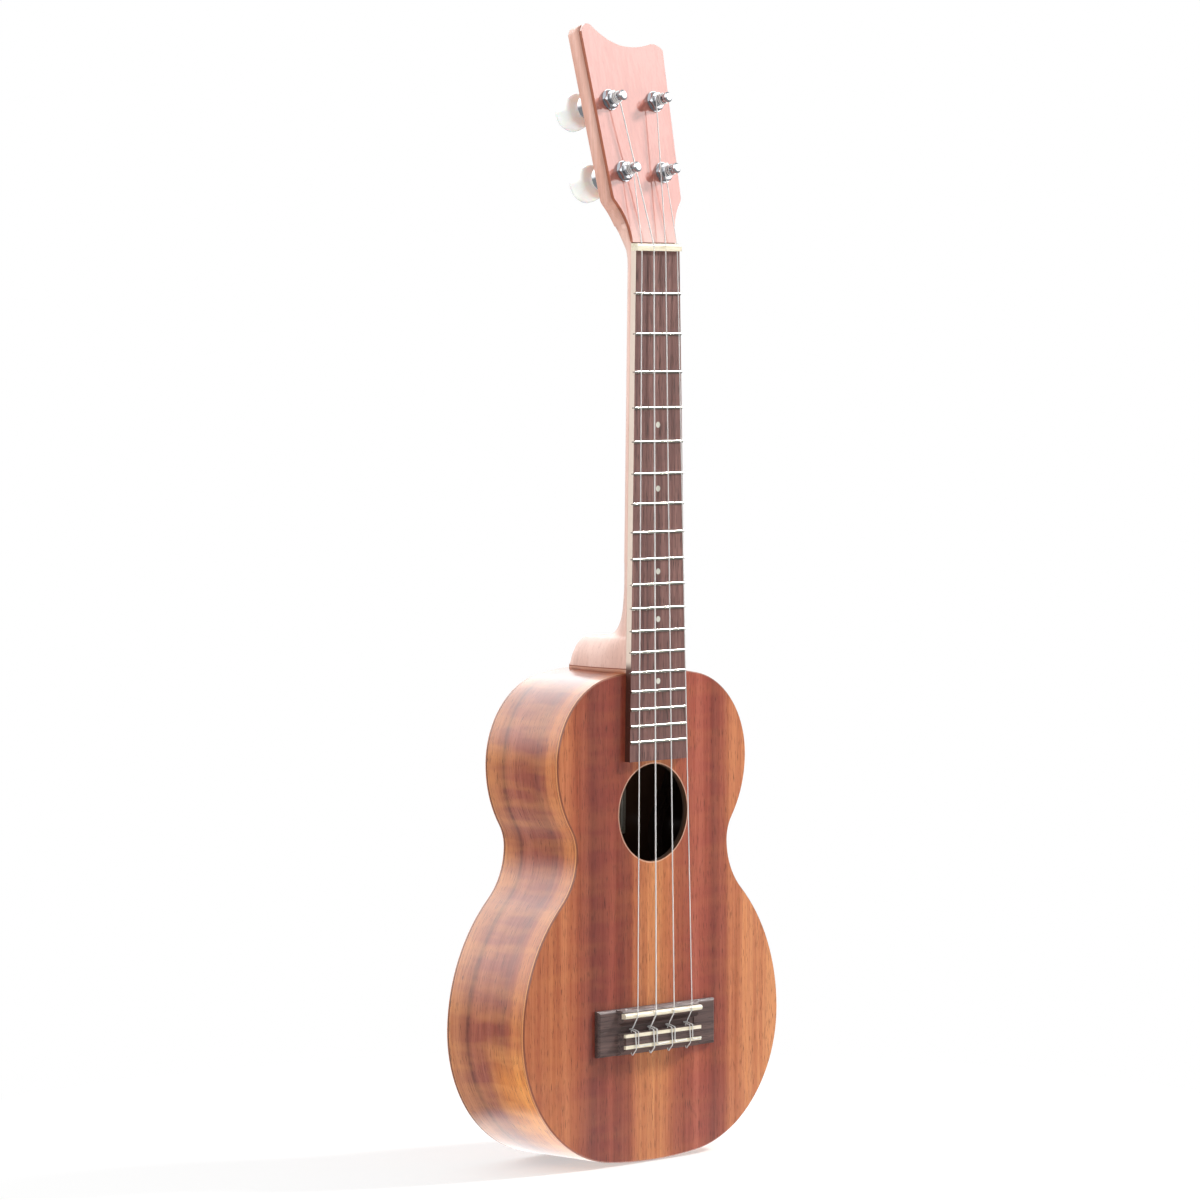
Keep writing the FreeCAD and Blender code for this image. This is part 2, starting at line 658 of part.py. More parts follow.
def make_nut():
    """Bone nut between fretboard and headplate, grooved for the strings."""
    half = mm("nut_width") / 2
    top = Y_FRETS - mm("nut_above_frets")
    blank = box(-half, half, top, Y_TOP, Z_NUT, Z_PIVOT)
    crest = []
    for edge in blank.Edges:
        middle = edge.valueAt((edge.FirstParameter + edge.LastParameter) / 2)
        if abs(middle.y - top) < 1e-6 and abs(middle.z - Z_PIVOT) < 1e-6:
            crest.append(edge)
    blank = blank.makeFillet(0.4 * mm("nut_thickness"), crest)
    for index, name in enumerate(STRINGS):
        groove = mm("string_%s_radius" % name) + mm("string_clearance")
        before, crest_point, after = string_at_nut(index)
        for end in (before, after):
            run = (end - crest_point).normalize()
            start = crest_point - run * 0.3
            blank = blank.cut(Part.makeCylinder(groove, 4 * mm("nut_thickness"), start, run))
    feature("nut", blank)


# Neck: one loft from the heel to the volute, then the headstock core


def neck_section(half, depth, heel, square, narrow, origin, back):
    """A line across the front and three arcs round the back of the neck.

    heel runs from 0 for the oval shaft to 1 for the tapered heel, and square from 0 for the
    shaft to 1 for the headstock's flat back.
    """
    radius = (half ** 2 + depth ** 2) / (2 * depth)
    centre = depth - radius
    span = math.atan2(half, -centre)
    turn = 0.5 * span
    shoulder = (radius * math.sin(turn), centre + radius * math.cos(turn))
    flank = (radius * math.sin((turn + span) / 2), centre + radius * math.cos((turn + span) / 2))
    heel_shoulder = (0.82 * narrow, depth - 0.25 * narrow)
    heel_flank = ((half + narrow) / 2 + 0.6, 0.42 * depth)
    head_shoulder = (0.97 * half, 0.985 * depth)
    head_flank = (half + 0.05, 0.5 * depth)

    def blend(oval, at_heel, at_head):
        share = 1 - heel - square
        return [share * a + heel * b + square * c for a, b, c in zip(oval, at_heel, at_head)]

    shoulder = blend(shoulder, heel_shoulder, head_shoulder)
    flank = blend(flank, heel_flank, head_flank)

    def point(x, y):
        return origin + V(x, 0, 0) + back * y

    right = Part.Arc(point(half, 0), point(*flank), point(*shoulder)).toShape()
    rear = Part.Arc(point(*shoulder), point(0, depth), point(-shoulder[0], shoulder[1])).toShape()
    left = Part.Arc(point(-shoulder[0], shoulder[1]), point(-flank[0], flank[1]), point(-half, 0)).toShape()
    front = Part.LineSegment(point(-half, 0), point(half, 0)).toShape()
    return Part.Wire([right, rear, left, front])


def heel_stations():
    """Heights, depths and end widths down the neck's back: shaft, hollow, ledge and rounded end."""
    ledge = Z_BODY + mm("heel_height")
    shaft = mm("neck_depth_heel")
    depth = mm("heel_depth")
    ledge_width = mm("heel_ledge_half_width")
    widening = mm("heel_half_width") - ledge_width
    stations = []
    for degrees in (0, 20, 40, 60, 80):
        angle = math.radians(degrees)
        z = ledge + mm("hollow_height") * (1 - math.sin(angle))
        stations.append((z, shaft + mm("hollow_depth") * (1 - math.cos(angle)), ledge_width))
    for degrees in (80, 55, 30, 0):
        angle = math.radians(degrees)
        z = ledge - mm("heel_round_height") * (1 - math.sin(angle))
        end = depth - mm("heel_round_depth") * (1 - math.cos(angle))
        stations.append((z, end, ledge_width + widening * math.cos(angle)))
    stations.append((Z_BODY - mm("neck_block_length") / 4, depth, mm("heel_half_width")))
    return stations


def make_neck():
    """Heel, shaft and headstock core in one piece of wood, cut to the body's outline."""
    back = V(0, 1, 0)
    tilt = math.radians(mm("head_tilt"))
    sections = []
    shaft = mm("neck_depth_heel")
    for z, depth, narrow in reversed(heel_stations()):
        share = min(1.0, (depth - shaft) / (0.45 * (mm("heel_depth") - shaft)))
        half = board_half_width(z)
        sections.append(neck_section(half, depth, share, 0, narrow, V(0, Y_TOP, z), back))
    half = board_half_width(Z_NUT)
    depth = mm("neck_depth_nut")
    z_free = Z_NUT - 2 * mm("nut_thickness")
    sections.append(neck_section(board_half_width(z_free), depth, 0, 0, half, V(0, Y_TOP, z_free), back))
    for share, z in ((0.04, Z_NUT - mm("nut_thickness")), (0.16, Z_NUT + 0.1 * mm("nut_thickness"))):
        sections.append(neck_section(half, depth, 0, share, half, V(0, Y_TOP, z), back))
    lean_up = V(0, math.sin(tilt), math.cos(tilt))
    lean_back = V(0, math.cos(tilt), -math.sin(tilt))
    start = V(0, Y_TOP, Z_PIVOT)
    volute = ((0.32, 0.025, 0.9), (0.55, 0.33, 0.62), (0.8, 0.67, 0.25), (1, 1, 0))
    for share, part, level in volute:
        rise = part * mm("volute_rise")
        width = neck_flare(rise)
        thick = mm("head_thickness") + level * (depth - mm("head_thickness"))
        sections.append(neck_section(width, thick, 0, share, width, start + lean_up * rise, lean_back))
    shaft_solid = Part.makeLoft(sections, True, True)
    core = head_face(mm("volute_rise")).extrude(V(0, 0, -mm("head_thickness")))
    core.Placement = HEAD
    wood = shaft_solid.fuse(core)
    wood = wood.cut(outline_prism(0, Y_TOP - 1, Y_REAR))
    for x, rise in post_places():
        reach = 2 * mm("head_thickness")
        hole = Part.makeCylinder(mm("stem_radius") + mm("stem_clearance"), 2 * reach, V(x, rise, -reach))
        hole.Placement = HEAD
        wood = wood.cut(hole)
    feature("neck", wood.removeSplitter())


def neck_flare(rise):
    """Half width where the neck widens into the lower corners of the headstock."""
    straight = 0.11 * mm("head_foot")
    half = mm("nut_width") / 2
    if rise <= straight:
        return half
    reach = 0.88 * mm("head_foot") - straight
    share = (rise - straight) / reach
    return half + (mm("head_half_foot") - half) * 0.92 * share ** 2


def head_face(foot):
    """Face outline in the headstock's own plane, from a height above the pivot."""
    length = mm("head_length")
    top = mm("head_half_top")
    side = mm("head_half_foot")
    z_side = mm("head_foot")
    z_left = length - 4.5
    z_right = length - mm("treble_horn_drop") - 3.6
    dip = length - mm("crown_dip")
    horn = length - mm("treble_horn_drop")
    start = neck_flare(foot)
    bend = z_side - 3.8
    wide = neck_flare(bend)
    middle = (foot + bend) / 2
    edges = []

    def path(*points):
        points = [(x, y, 0) for x, y in points]
        if len(points) == 3:
            edges.append(three_point_arc(*points))
        else:
            edges.append(Part.LineSegment(V(*points[0]), V(*points[1])).toShape())

    path((start, foot), (neck_flare(middle), middle), (wide, bend))
    path((wide, bend), (side - 0.35, z_side - 2.3), (side, z_side))
    path((side, z_side), (top, z_right))
    path((top, z_right), (0.86 * top, horn - 0.6), (0.7 * top, horn - 0.15))
    path((0.7 * top, horn - 0.15), (0.27 * top, dip), (-0.12 * top, dip + 0.9))
    path((-0.12 * top, dip + 0.9), (-0.5 * top, dip + 6.0), (-0.72 * top, length - 1.6))
    path((-0.72 * top, length - 1.6), (-0.84 * top, length), (-0.95 * top, length - 1.9))
    path((-0.95 * top, length - 1.9), (-top, z_left))
    path((-top, z_left), (-side, z_side))
    path((-side, z_side), (-side + 0.35, z_side - 2.3), (-wide, bend))
    path((-wide, bend), (-neck_flare(middle), middle), (-start, foot))
    path((-start, foot), (start, foot))
    return Part.Face(Part.Wire(edges))


def make_headplate():
    """Veneer on the headstock's face, with its four holes and the same outline."""
    plate = head_face(0.35).extrude(V(0, 0, FACE))
    for x, rise in post_places():
        plate = plate.cut(Part.makeCylinder(mm("stem_radius") + mm("stem_clearance"), 10, V(x, rise, -5)))
    feature("headplate", plate, HEAD)


# Tuners: coaxial geared pegs, in the headstock's own plane


def post_places():
    """Post centres for the g, c, e and a strings."""
    low = mm("lower_post_rise")
    high = mm("upper_post_rise")
    return [
        (-mm("lower_post_offset"), low),
        (-mm("upper_post_offset"), high),
        (mm("upper_post_offset"), high),
        (mm("lower_post_offset"), low),
    ]


def at_post(index):
    x, rise = post_places()[index]
    return HEAD.multiply(Placement(V(x, rise, 0), Rotation()))


def make_washers():
    """Four flat washers under the hex nuts."""
    rings = []
    inner = mm("stem_radius") + mm("stem_clearance")
    for index in range(len(STRINGS)):
        ring = Part.makeCylinder(mm("washer_radius"), mm("washer_thickness"), V(0, 0, FACE))
        ring = ring.cut(Part.makeCylinder(inner, 10, V(0, 0, FACE - 5)))
        ring.Placement = at_post(index)
        rings.append(ring)
    feature("tuner_washers", Part.makeCompound(rings))


def hex_nut_shape():
    """Hexagon with a turned crown, bored for the stem."""
    low = FACE + mm("washer_thickness")
    high = low + mm("hex_thickness")
    corner = mm("hex_across") / 2 / math.cos(math.radians(30))
    points = []
    for side in range(7):
        angle = math.radians(60 * side)
        points.append(V(corner * math.cos(angle), corner * math.sin(angle), low))
    prism = Part.Face(Part.makePolygon(points)).extrude(V(0, 0, mm("hex_thickness")))
    flat = mm("hex_across") / 2
    rise = (corner - flat) + 0.3
    cone = Part.makeCone(flat + 0.3 + rise + 6, flat - 0.3, rise + 6.6, V(0, 0, high - rise - 6.6))
    prism = prism.common(cone)
    return prism.cut(Part.makeCylinder(mm("stem_radius") + 0.02, 12, V(0, 0, low - 4)))


def make_hex_nuts():
    nuts = []
    for index in range(len(STRINGS)):
        nut = hex_nut_shape()
        nut.Placement = at_post(index)
        nuts.append(nut)
    feature("tuner_hex_nuts", Part.makeCompound(nuts))


def make_tuner(index, name):
    """Housing, string post and button on one axis, square to the headstock face."""
    place = at_post(index)
    behind = -mm("head_thickness")
    end = behind - mm("housing_length")
    clear = mm("turning_clearance")
    stem_top = FACE + mm("washer_thickness") + mm("hex_thickness") - 0.3
    post_foot = behind - 2.0
    floor = post_foot - 0.3
    bore = mm("post_radius") + clear
    shaft_bore = mm("shaft_radius") + clear
    barrel = mm("housing_radius")
    housing = [
        (bore, stem_top),
        (mm("stem_radius"), stem_top),
        (mm("stem_radius"), behind),
        (barrel, behind),
        (barrel, end),
        (shaft_bore, end),
        (shaft_bore, floor - 1.4),
        (bore, floor - 1.4),
    ]
    turned("housing_" + name, housing, place)

    radius = mm("post_radius")
    waist = mm("post_waist")
    top = FACE + mm("post_height")
    low = FACE + mm("washer_thickness") + mm("hex_thickness") + 0.3
    post = [
        (0, post_foot),
        (radius, post_foot),
        (radius, low),
        (waist, low + 0.7),
        (waist, top - 2.6),
        (radius, top - 1.5),
        (radius, top - 0.7),
        (0.7 * radius, top),
        (0, top),
    ]
    solid = turned("post_%s_turned" % name, post, place)
    drill = doc.addObject("Part::Cylinder", "post_%s_drill" % name)
    bind(drill, Radius="Sizes.post_hole_radius", Height="4 * Sizes.post_radius")
    height = top - mm("post_hole_drop")
    across = Placement(V(-2 * radius, 0, height), Rotation(V(0, 1, 0), 90))
    drill.Placement = place.multiply(across)
    holed = doc.addObject("Part::Cut", "post_" + name)
    holed.Label = "post_" + name
    holed.Base = solid
    holed.Tool = drill

    front = end - mm("button_gap")
    rear = front - mm("button_length")
    full = mm("button_radius")
    rings = [
        (0.66 * full, front),
        (0.9 * full, front - 0.12 * mm("button_length")),
        (full, front - 0.4 * mm("button_length")),
        (0.92 * full, rear + 0.14 * mm("button_length")),
        (0.72 * full, rear),
    ]
    knob = Part.makeLoft([Part.makePolygon(polygon(BUTTON_SIDES, *ring)) for ring in rings], True, True)
    seat = mm("button_seat")
    bore = Part.makeCylinder(mm("shaft_radius") + mm("button_clearance"), seat, V(0, 0, front - seat))
    feature("button_" + name, knob.cut(bore), place)
    collar = mm("collar_radius")
    shaft = [
        (0, front - seat + mm("button_clearance")),
        (mm("shaft_radius"), front - seat + mm("button_clearance")),
        (mm("shaft_radius"), front),
        (collar, front),
        (collar, front + 0.5 * mm("button_gap")),
        (mm("shaft_radius"), front + 0.5 * mm("button_gap")),
        (mm("shaft_radius"), floor - 1.7),
        (0, floor - 1.7),
    ]
    turned("shaft_" + name, shaft, place)


# Bridge, tie strips and saddle, in a frame whose Y runs from the rear edge towards the soundhole
# and whose Z is the height above the soundboard


BRIDGE = Placement(V(0, Y_TOP, Z_BRIDGE), Rotation(V(1, 0, 0), 90))


def bridge_point(x, along, height):
    return BRIDGE.multVec(V(x, along, height))


def bridge_profile():
    """Side view of the raised middle: rear slope, tie block, valley, ramp and saddle seat."""
    width = mm("bridge_width")
    wing = mm("bridge_wing")
    tie = mm("tie_height")
    valley = mm("valley_height")
    seat = mm("saddle_seat")
    saddle = mm("saddle_from_rear")
    behind_saddle = saddle - mm("saddle_thickness") / 2 - 1.2
    return [
        (0, 0),
        (width, 0),
        (width, 0.8 * wing),
        (width - 1.0, seat - 0.8),
        (width - 1.8, seat),
        (behind_saddle, seat),
        (mm("tie_to") + 4.2, valley),
        (mm("tie_to") + 0.3, valley),
        (mm("tie_to"), valley + 0.3),
        (mm("tie_to"), tie),
        (mm("tie_from"), tie),
        (0.5, wing + 0.6),
        (0, 0.8 * wing),
    ]


def make_bridge():
    length = mm("bridge_length")
    width = mm("bridge_width")
    wing = mm("bridge_wing")
    block = mm("bridge_block_length") / 2
    wings = box(-length / 2, length / 2, 0, width, 0, wing)
    rounded = []
    ends = []
    for edge in wings.Edges:
        middle = edge.valueAt((edge.FirstParameter + edge.LastParameter) / 2)
        if abs(middle.z - wing) < 1e-6 and abs(middle.x) < 1:
            rounded.append(edge)
        if abs(middle.z - wing) < 1e-6 and abs(abs(middle.x) - length / 2) < 1e-6:
            ends.append(edge)
    wings = wings.makeFillet(0.6 * wing, rounded + ends)
    wings = wings.cut(box(3 - block, block - 3, -1, width + 1, -1, wing + 1))
    points = [V(-block, y, z) for y, z in bridge_profile()]
    middle = Part.Face(Part.makePolygon(points + points[:1])).extrude(V(2 * block, 0, 0))
    for side in (-1, 1):
        slope = [
            V(side * block, -1, wing),
            V(side * (block + 5), -1, wing),
            V(side * (block + 5), -1, wing + 9),
            V(side * (block - 3), -1, mm("tie_height") + 2),
            V(side * (block - 2.2), -1, mm("tie_height") - 1.5),
        ]
        middle = middle.cut(Part.Face(Part.makePolygon(slope + slope[:1])).extrude(V(0, width + 2, 0)))
    solid = wings.fuse(middle).removeSplitter()
    clear = mm("slot_clearance")
    half = mm("saddle_length") / 2 + clear
    thin = mm("saddle_thickness") / 2 + clear
    saddle = mm("saddle_from_rear")
    floor = mm("saddle_seat") - mm("saddle_slot_depth")
    solid = solid.cut(box(-half, half, saddle - thin, saddle + thin, floor, floor + 20))
    for start in strip_starts():
        half = mm("strip_length") / 2 + clear
        seat = mm("tie_height") + mm("strip_proud") - mm("strip_height")
        solid = solid.cut(box(-half, half, start - clear, start + mm("strip_width") + clear, seat, seat + 9))
    for index in range(len(STRINGS)):
        hole = Part.makeCylinder(mm("tie_hole_radius"), mm("tie_to") + 6, V(saddle_x(index), -3, hole_height()), V(0, 1, 0))
        solid = solid.cut(hole)
    feature("bridge", solid, BRIDGE)


def hole_height():
    return mm("valley_height") + mm("tie_hole_radius") + 0.25


def strip_starts():
    """Rear edges of the two strips: one on each edge of the tie block."""
    return (mm("tie_from") + 0.25, mm("tie_to") - mm("strip_width") - 0.25)


def make_tie_strips():
    for name, start in zip(("tie_strip_rear", "tie_strip_front"), strip_starts()):
        strip = doc.addObject("Part::Box", name)
        strip.Label = name
        bind(strip, Length="Sizes.strip_length", Width="Sizes.strip_width", Height="Sizes.strip_height")
        seat = mm("tie_height") + mm("strip_proud") - mm("strip_height")
        local = Placement(V(-mm("strip_length") / 2, start, seat), Rotation())
        strip.Placement = BRIDGE.multiply(local)


def make_saddle():
    """Bone saddle with a half-round crown, standing in its slot."""
    half = mm("saddle_thickness") / 2
    foot = mm("saddle_seat") - mm("saddle_slot_depth")
    spring = mm("saddle_top") - half
    reach = mm("saddle_length") / 2
    centre = mm("saddle_from_rear")
    crown = three_point_arc((-reach, centre + half, spring), (-reach, centre, spring + half), (-reach, centre - half, spring))
    corners = [
        V(-reach, centre - half, spring),
        V(-reach, centre - half, foot),
        V(-reach, centre + half, foot),
        V(-reach, centre + half, spring),
    ]
    edges = [Part.LineSegment(corners[i], corners[i + 1]).toShape() for i in range(3)]
    feature("saddle", Part.Face(Part.Wire([crown] + edges)).extrude(V(2 * reach, 0, 0)), BRIDGE)


# Strings: each one unbroken length from its tail on the bridge to its turns on the post


def nut_x(index):
    return (index - 1.5) * mm("nut_string_step")


def saddle_x(index):
    return (index - 1.5) * mm("saddle_string_step")


def arc_from(start, direction, end):
    """The arc that leaves a point in a direction and ends at another point."""
    chord = end - start
    unit = V(chord).normalize()
    side = direction - unit * direction.dot(unit)
    if side.Length < 1e-7:
        return Part.LineSegment(start, end).toShape()
    half_angle = math.atan2(side.Length, direction.dot(unit))
    bulge = chord.Length / 2 * math.tan(half_angle / 2)
    middle = (start + end) * 0.5 + V(side).normalize() * bulge
    return Part.Arc(start, middle, end).toShape()


def rounded_route(points, radii):
    """Straight runs through the points, joined by tangent arcs of the given radii."""
    edges = []
    here = points[0]
    for index in range(1, len(points) - 1):
        corner = points[index]
        before = (corner - points[index - 1]).normalize()
        after = (points[index + 1] - corner).normalize()
        turn = math.acos(max(-1.0, min(1.0, before.dot(after))))
        cut = radii[index - 1] * math.tan(turn / 2)
        arc_start = corner - before * cut
        arc_end = corner + after * cut
        edges.append(Part.LineSegment(here, arc_start).toShape())
        edges.append(arc_from(arc_start, before, arc_end))
        here = arc_end
    edges.append(Part.LineSegment(here, points[-1]).toShape())
    return edges


def biarc(start, start_dir, end, end_dir):
    """Two arcs that join two points with given directions."""
    span = end - start
    total = start_dir + end_dir
    lead = 2 * (1 - start_dir.dot(end_dir))
    reach = span.dot(total)
    length = (-reach + math.sqrt(reach ** 2 + lead * span.dot(span))) / lead
    middle = (start + end + (start_dir - end_dir) * length) * 0.5
    first = arc_from(start, start_dir, middle)
    second = arc_from(end, end_dir * -1, middle)
    ends = Part.Arc(middle, second.valueAt((second.FirstParameter + second.LastParameter) / 2), end).toShape()
    return [first, ends]


def tube(edges, radius):
    """A fine-faceted solid along a route."""
    spine = Part.Wire(edges)
    start = edges[0].valueAt(edges[0].FirstParameter)
    direction = edges[0].tangentAt(edges[0].FirstParameter)
    turn = Placement(start, Rotation(V(0, 0, 1), direction))
    section = Part.makePolygon([turn.multVec(point) for point in polygon(STRING_SIDES, radius, 0)])
    return spine.makePipeShell([section], True, False)


def polygon(sides, radius, height):
    """Corners of a regular polygon, the first repeated at the end."""
    angles = [2 * math.pi * (side + 0.5) / sides for side in range(sides + 1)]
    return [V(radius * math.cos(angle), radius * math.sin(angle), height) for angle in angles]


def string_height_at_nut(radius):
    return Y_FRETS - mm("nut_action") - radius


def post_entry(index, radius):
    """Where a string meets its post: tangent point, post axis and turning sense."""
    x, rise = post_places()[index]
    sense = 1 if x < 0 else -1
    reach = mm("post_waist") + mm("wrap_clearance") + radius
    height = FACE + mm("wrap_start")
    nut_point = HEAD.inverse().multVec(nut_crest(index, radius))
    away = V(x, rise, 0) - V(nut_point.x, nut_point.y, 0)
    offset = math.asin(reach / away.Length)
    heading = math.atan2(away.y, away.x) - sense * offset
    angle = heading - sense * math.pi / 2
    touch = V(x + reach * math.cos(angle), rise + reach * math.sin(angle), height)
    return touch, V(x, rise, 0), reach, angle, sense, nut_point


def nut_crest(index, radius):
    """Where a string's two straight stretches meet over the nut."""
    return V(nut_x(index), string_height_at_nut(radius), Z_PIVOT - NUT_CREST)


def string_at_nut(index):
    """Three points of a string: at the saddle, over the nut and at its post."""
    radius = mm("string_%s_radius" % STRINGS[index])
    post = HEAD.multVec(post_entry(index, radius)[0])
    return saddle_corner(index, radius), nut_crest(index, radius), post


def saddle_corner(index, radius):
    """Corner of the string's route over the saddle's crown."""
    crown = mm("saddle_thickness") / 2
    reach = crown + radius + mm("string_clearance")
    centre = V(0, mm("saddle_from_rear"), mm("saddle_top") - crown)
    nut_along = Z_PIVOT - NUT_CREST - Z_BRIDGE
    nut_height = Y_TOP - string_height_at_nut(radius)
    front = V(0, nut_along, nut_height) - centre
    rear = V(0, mm("tie_to") + 0.6, hole_height()) - centre
    front_angle = math.atan2(front.z, front.y) + math.acos(reach / front.Length)
    rear_angle = math.atan2(rear.z, rear.y) - math.acos(reach / rear.Length)
    middle = (front_angle + rear_angle) / 2
    far = reach / math.cos((rear_angle - front_angle) / 2)
    return bridge_point(saddle_x(index), centre.y + far * math.cos(middle), centre.z + far * math.sin(middle))


def tie_points(index, radius):
    """Corners of the hitch on the tie block, from the loose tail to the saddle, with radii."""
    x = saddle_x(index)
    over = mm("tie_height") + mm("strip_proud") + radius + 0.08
    front = mm("tie_to") + radius + 0.35
    floor = mm("valley_height") + radius + 0.12
    hole = hole_height()
    side = 2 * radius + 0.62
    rear = -radius - 0.35
    strip = mm("tie_from") + 1.2
    reach = min(mm("tail_reach"), mm("strip_length") / 2 - x - side - 0.4)
    points = [
        bridge_point(x + side + reach, strip + 0.5, over),
        bridge_point(x + side, strip, over),
        bridge_point(x + side, front + 0.1, over),
        bridge_point(x + side, front + 1.4, floor),
        bridge_point(x - side, front + 1.4, floor),
        bridge_point(x - side, front + 0.1, over),
        bridge_point(x - 0.5 * side, mm("tie_from") - 0.4, over),
        bridge_point(x, rear, hole + 0.7),
        bridge_point(x, 0.2 + radius, hole),
        bridge_point(x, mm("tie_to") + 0.6, hole),
        saddle_corner(index, radius),
    ]
    tight = 2.0 * radius
    radii = [2.4 * radius, tight, tight, tight, tight, 2.4 * radius, tight, tight, 2.4 * radius]
    crown = mm("saddle_thickness") / 2 + radius + mm("string_clearance")
    return points, radii + [crown]


def least_gap(points, radius, apart):
    """Least clear distance between stretches of one tube that lie apart along it."""
    least = 1e9
    lengths = [0.0]
    for first, second in zip(points, points[1:]):
        lengths.append(lengths[-1] + (second - first).Length)
    for i in range(len(points)):
        for j in range(i + 1, len(points)):
            if lengths[j] - lengths[i] > apart:
                least = min(least, (points[j] - points[i]).Length)
    return least - 2 * radius


def make_string(index, name):
    radius = mm("string_%s_radius" % name)
    points, radii = tie_points(index, radius)
    touch, axis, reach, angle, sense, nut_point = post_entry(index, radius)
    edges = rounded_route(points + [nut_crest(index, radius), HEAD.multVec(touch)], radii + [NUT_BEND])
    turns = []
    here = touch
    heading = (touch - nut_point).normalize()
    pitch = mm("wrap_pitch")
    slope = pitch / (2 * math.pi)
    for quarter in range(1, WRAP_QUARTERS + 1):
        swing = angle + sense * quarter * math.pi / 2
        flat = V(math.cos(swing), math.sin(swing), 0)
        along = V(-sense * math.sin(swing) * reach, sense * math.cos(swing) * reach, slope).normalize()
        there = axis + flat * reach + V(0, 0, touch.z + pitch * quarter / 4)
        turns += biarc(here, heading, there, along)
        here = there
        heading = along
    for edge in turns:
        edge.Placement = HEAD.multiply(edge.Placement)
    solid = tube(edges + turns, radius)
    feature("string_" + name, solid)
    wire = Part.Wire(edges + turns)
    knot = Part.Wire(edges[:19]).discretize(Distance=0.12)
    wraps = Part.Wire(turns).discretize(Distance=0.2)
    section = STRING_SIDES / 2 * math.sin(2 * math.pi / STRING_SIDES) * radius ** 2
    ideal = section * wire.Length
    report = "string %s: length %.1f, volume ratio %.4f, least gap in the turns %.2f, in the hitch %.2f"
    gaps = (least_gap(wraps, radius, 2.5 * reach), least_gap(knot, radius, 6 * radius))
    print(report % (name, wire.Length, solid.Volume / ideal, *gaps))


make_soundboard()
make_back()
make_sides()
make_linings()
make_block("neck_block", "neck_block_width", "neck_block_length", Z_BODY - mm("neck_block_length"))
make_block("tail_block", "tail_block_width", "tail_block_length", -10)
make_top_braces()
make_soundhole_ring()
make_back_braces()
make_label()
make_fretboard()
make_frets()
make_dots()
make_nut()
make_neck()
make_headplate()
make_washers()
make_hex_nuts()
for number, letter in enumerate(STRINGS):
    make_tuner(number, letter)
make_bridge()
make_tie_strips()
make_saddle()
for number, letter in enumerate(STRINGS):
    make_string(number, letter)
doc.recompute()

NODES = ["soundboard", "back_plate", "side_bass", "side_treble"]
NODES += ["lining_top_bass", "lining_top_treble", "lining_back_bass", "lining_back_treble"]
NODES += ["neck_block", "tail_block", "top_brace_upper", "top_brace_lower", "bridge_plate"]
NODES += ["fan_brace_bass", "fan_brace_centre", "fan_brace_treble", "soundhole_ring"]
NODES += ["back_brace_upper", "back_brace_middle", "back_brace_lower", "label"]
NODES += ["neck", "headplate", "fretboard", "frets", "position_dots", "nut"]
NODES += ["bridge", "tie_strip_front", "tie_strip_rear", "saddle"]
NODES += ["tuner_washers", "tuner_hex_nuts"]
for letter in STRINGS:
    NODES += ["housing_" + letter, "post_" + letter, "shaft_" + letter]
    NODES += ["button_" + letter, "string_" + letter]

for item in doc.Objects:
    if "Invalid" in item.State or "Error" in item.State:
        raise RuntimeError("%s is %s" % (item.Name, item.State))

os.makedirs("parts", exist_ok=True)
for name in NODES:
    found = [item for item in doc.Objects if item.Label == name]
    shape = found[0].Shape
    if shape.isNull() or not shape.isValid():
        raise RuntimeError("%s has no valid shape" % name)
    shape.exportStep("parts/%s.step" % name)
print("%d sub-parts" % len(NODES))
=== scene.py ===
import math

import bmesh
import bpy
from mathutils import Matrix, Vector


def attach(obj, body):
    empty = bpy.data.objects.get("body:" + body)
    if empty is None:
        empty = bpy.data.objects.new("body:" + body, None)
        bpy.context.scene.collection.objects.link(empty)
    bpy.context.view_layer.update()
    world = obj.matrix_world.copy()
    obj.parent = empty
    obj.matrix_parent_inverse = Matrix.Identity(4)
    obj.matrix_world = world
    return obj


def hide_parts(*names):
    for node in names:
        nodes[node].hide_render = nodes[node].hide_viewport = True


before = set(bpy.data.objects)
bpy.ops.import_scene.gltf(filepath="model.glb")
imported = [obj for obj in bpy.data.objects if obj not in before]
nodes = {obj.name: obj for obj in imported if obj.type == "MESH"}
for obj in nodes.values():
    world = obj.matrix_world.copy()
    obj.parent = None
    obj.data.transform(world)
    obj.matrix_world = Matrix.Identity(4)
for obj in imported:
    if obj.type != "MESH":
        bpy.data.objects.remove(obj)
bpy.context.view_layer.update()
bpy.context.scene.view_settings.view_transform = "Standard"

# Studio
# A white floor and backdrop, a lamp at the front right and a wide one behind at the left. The
# floor takes the shadow near the body and fades to white further out. The camera stands at the
# left front, a little above the body.


def colour(code):
    """Turn an sRGB hex code into a linear colour."""
    parts = [int(code[i:i + 2], 16) / 255 for i in (1, 3, 5)]
    linear = [c / 12.92 if c <= 0.04045 else ((c + 0.055) / 1.055) ** 2.4 for c in parts]
    return (*linear, 1.0)


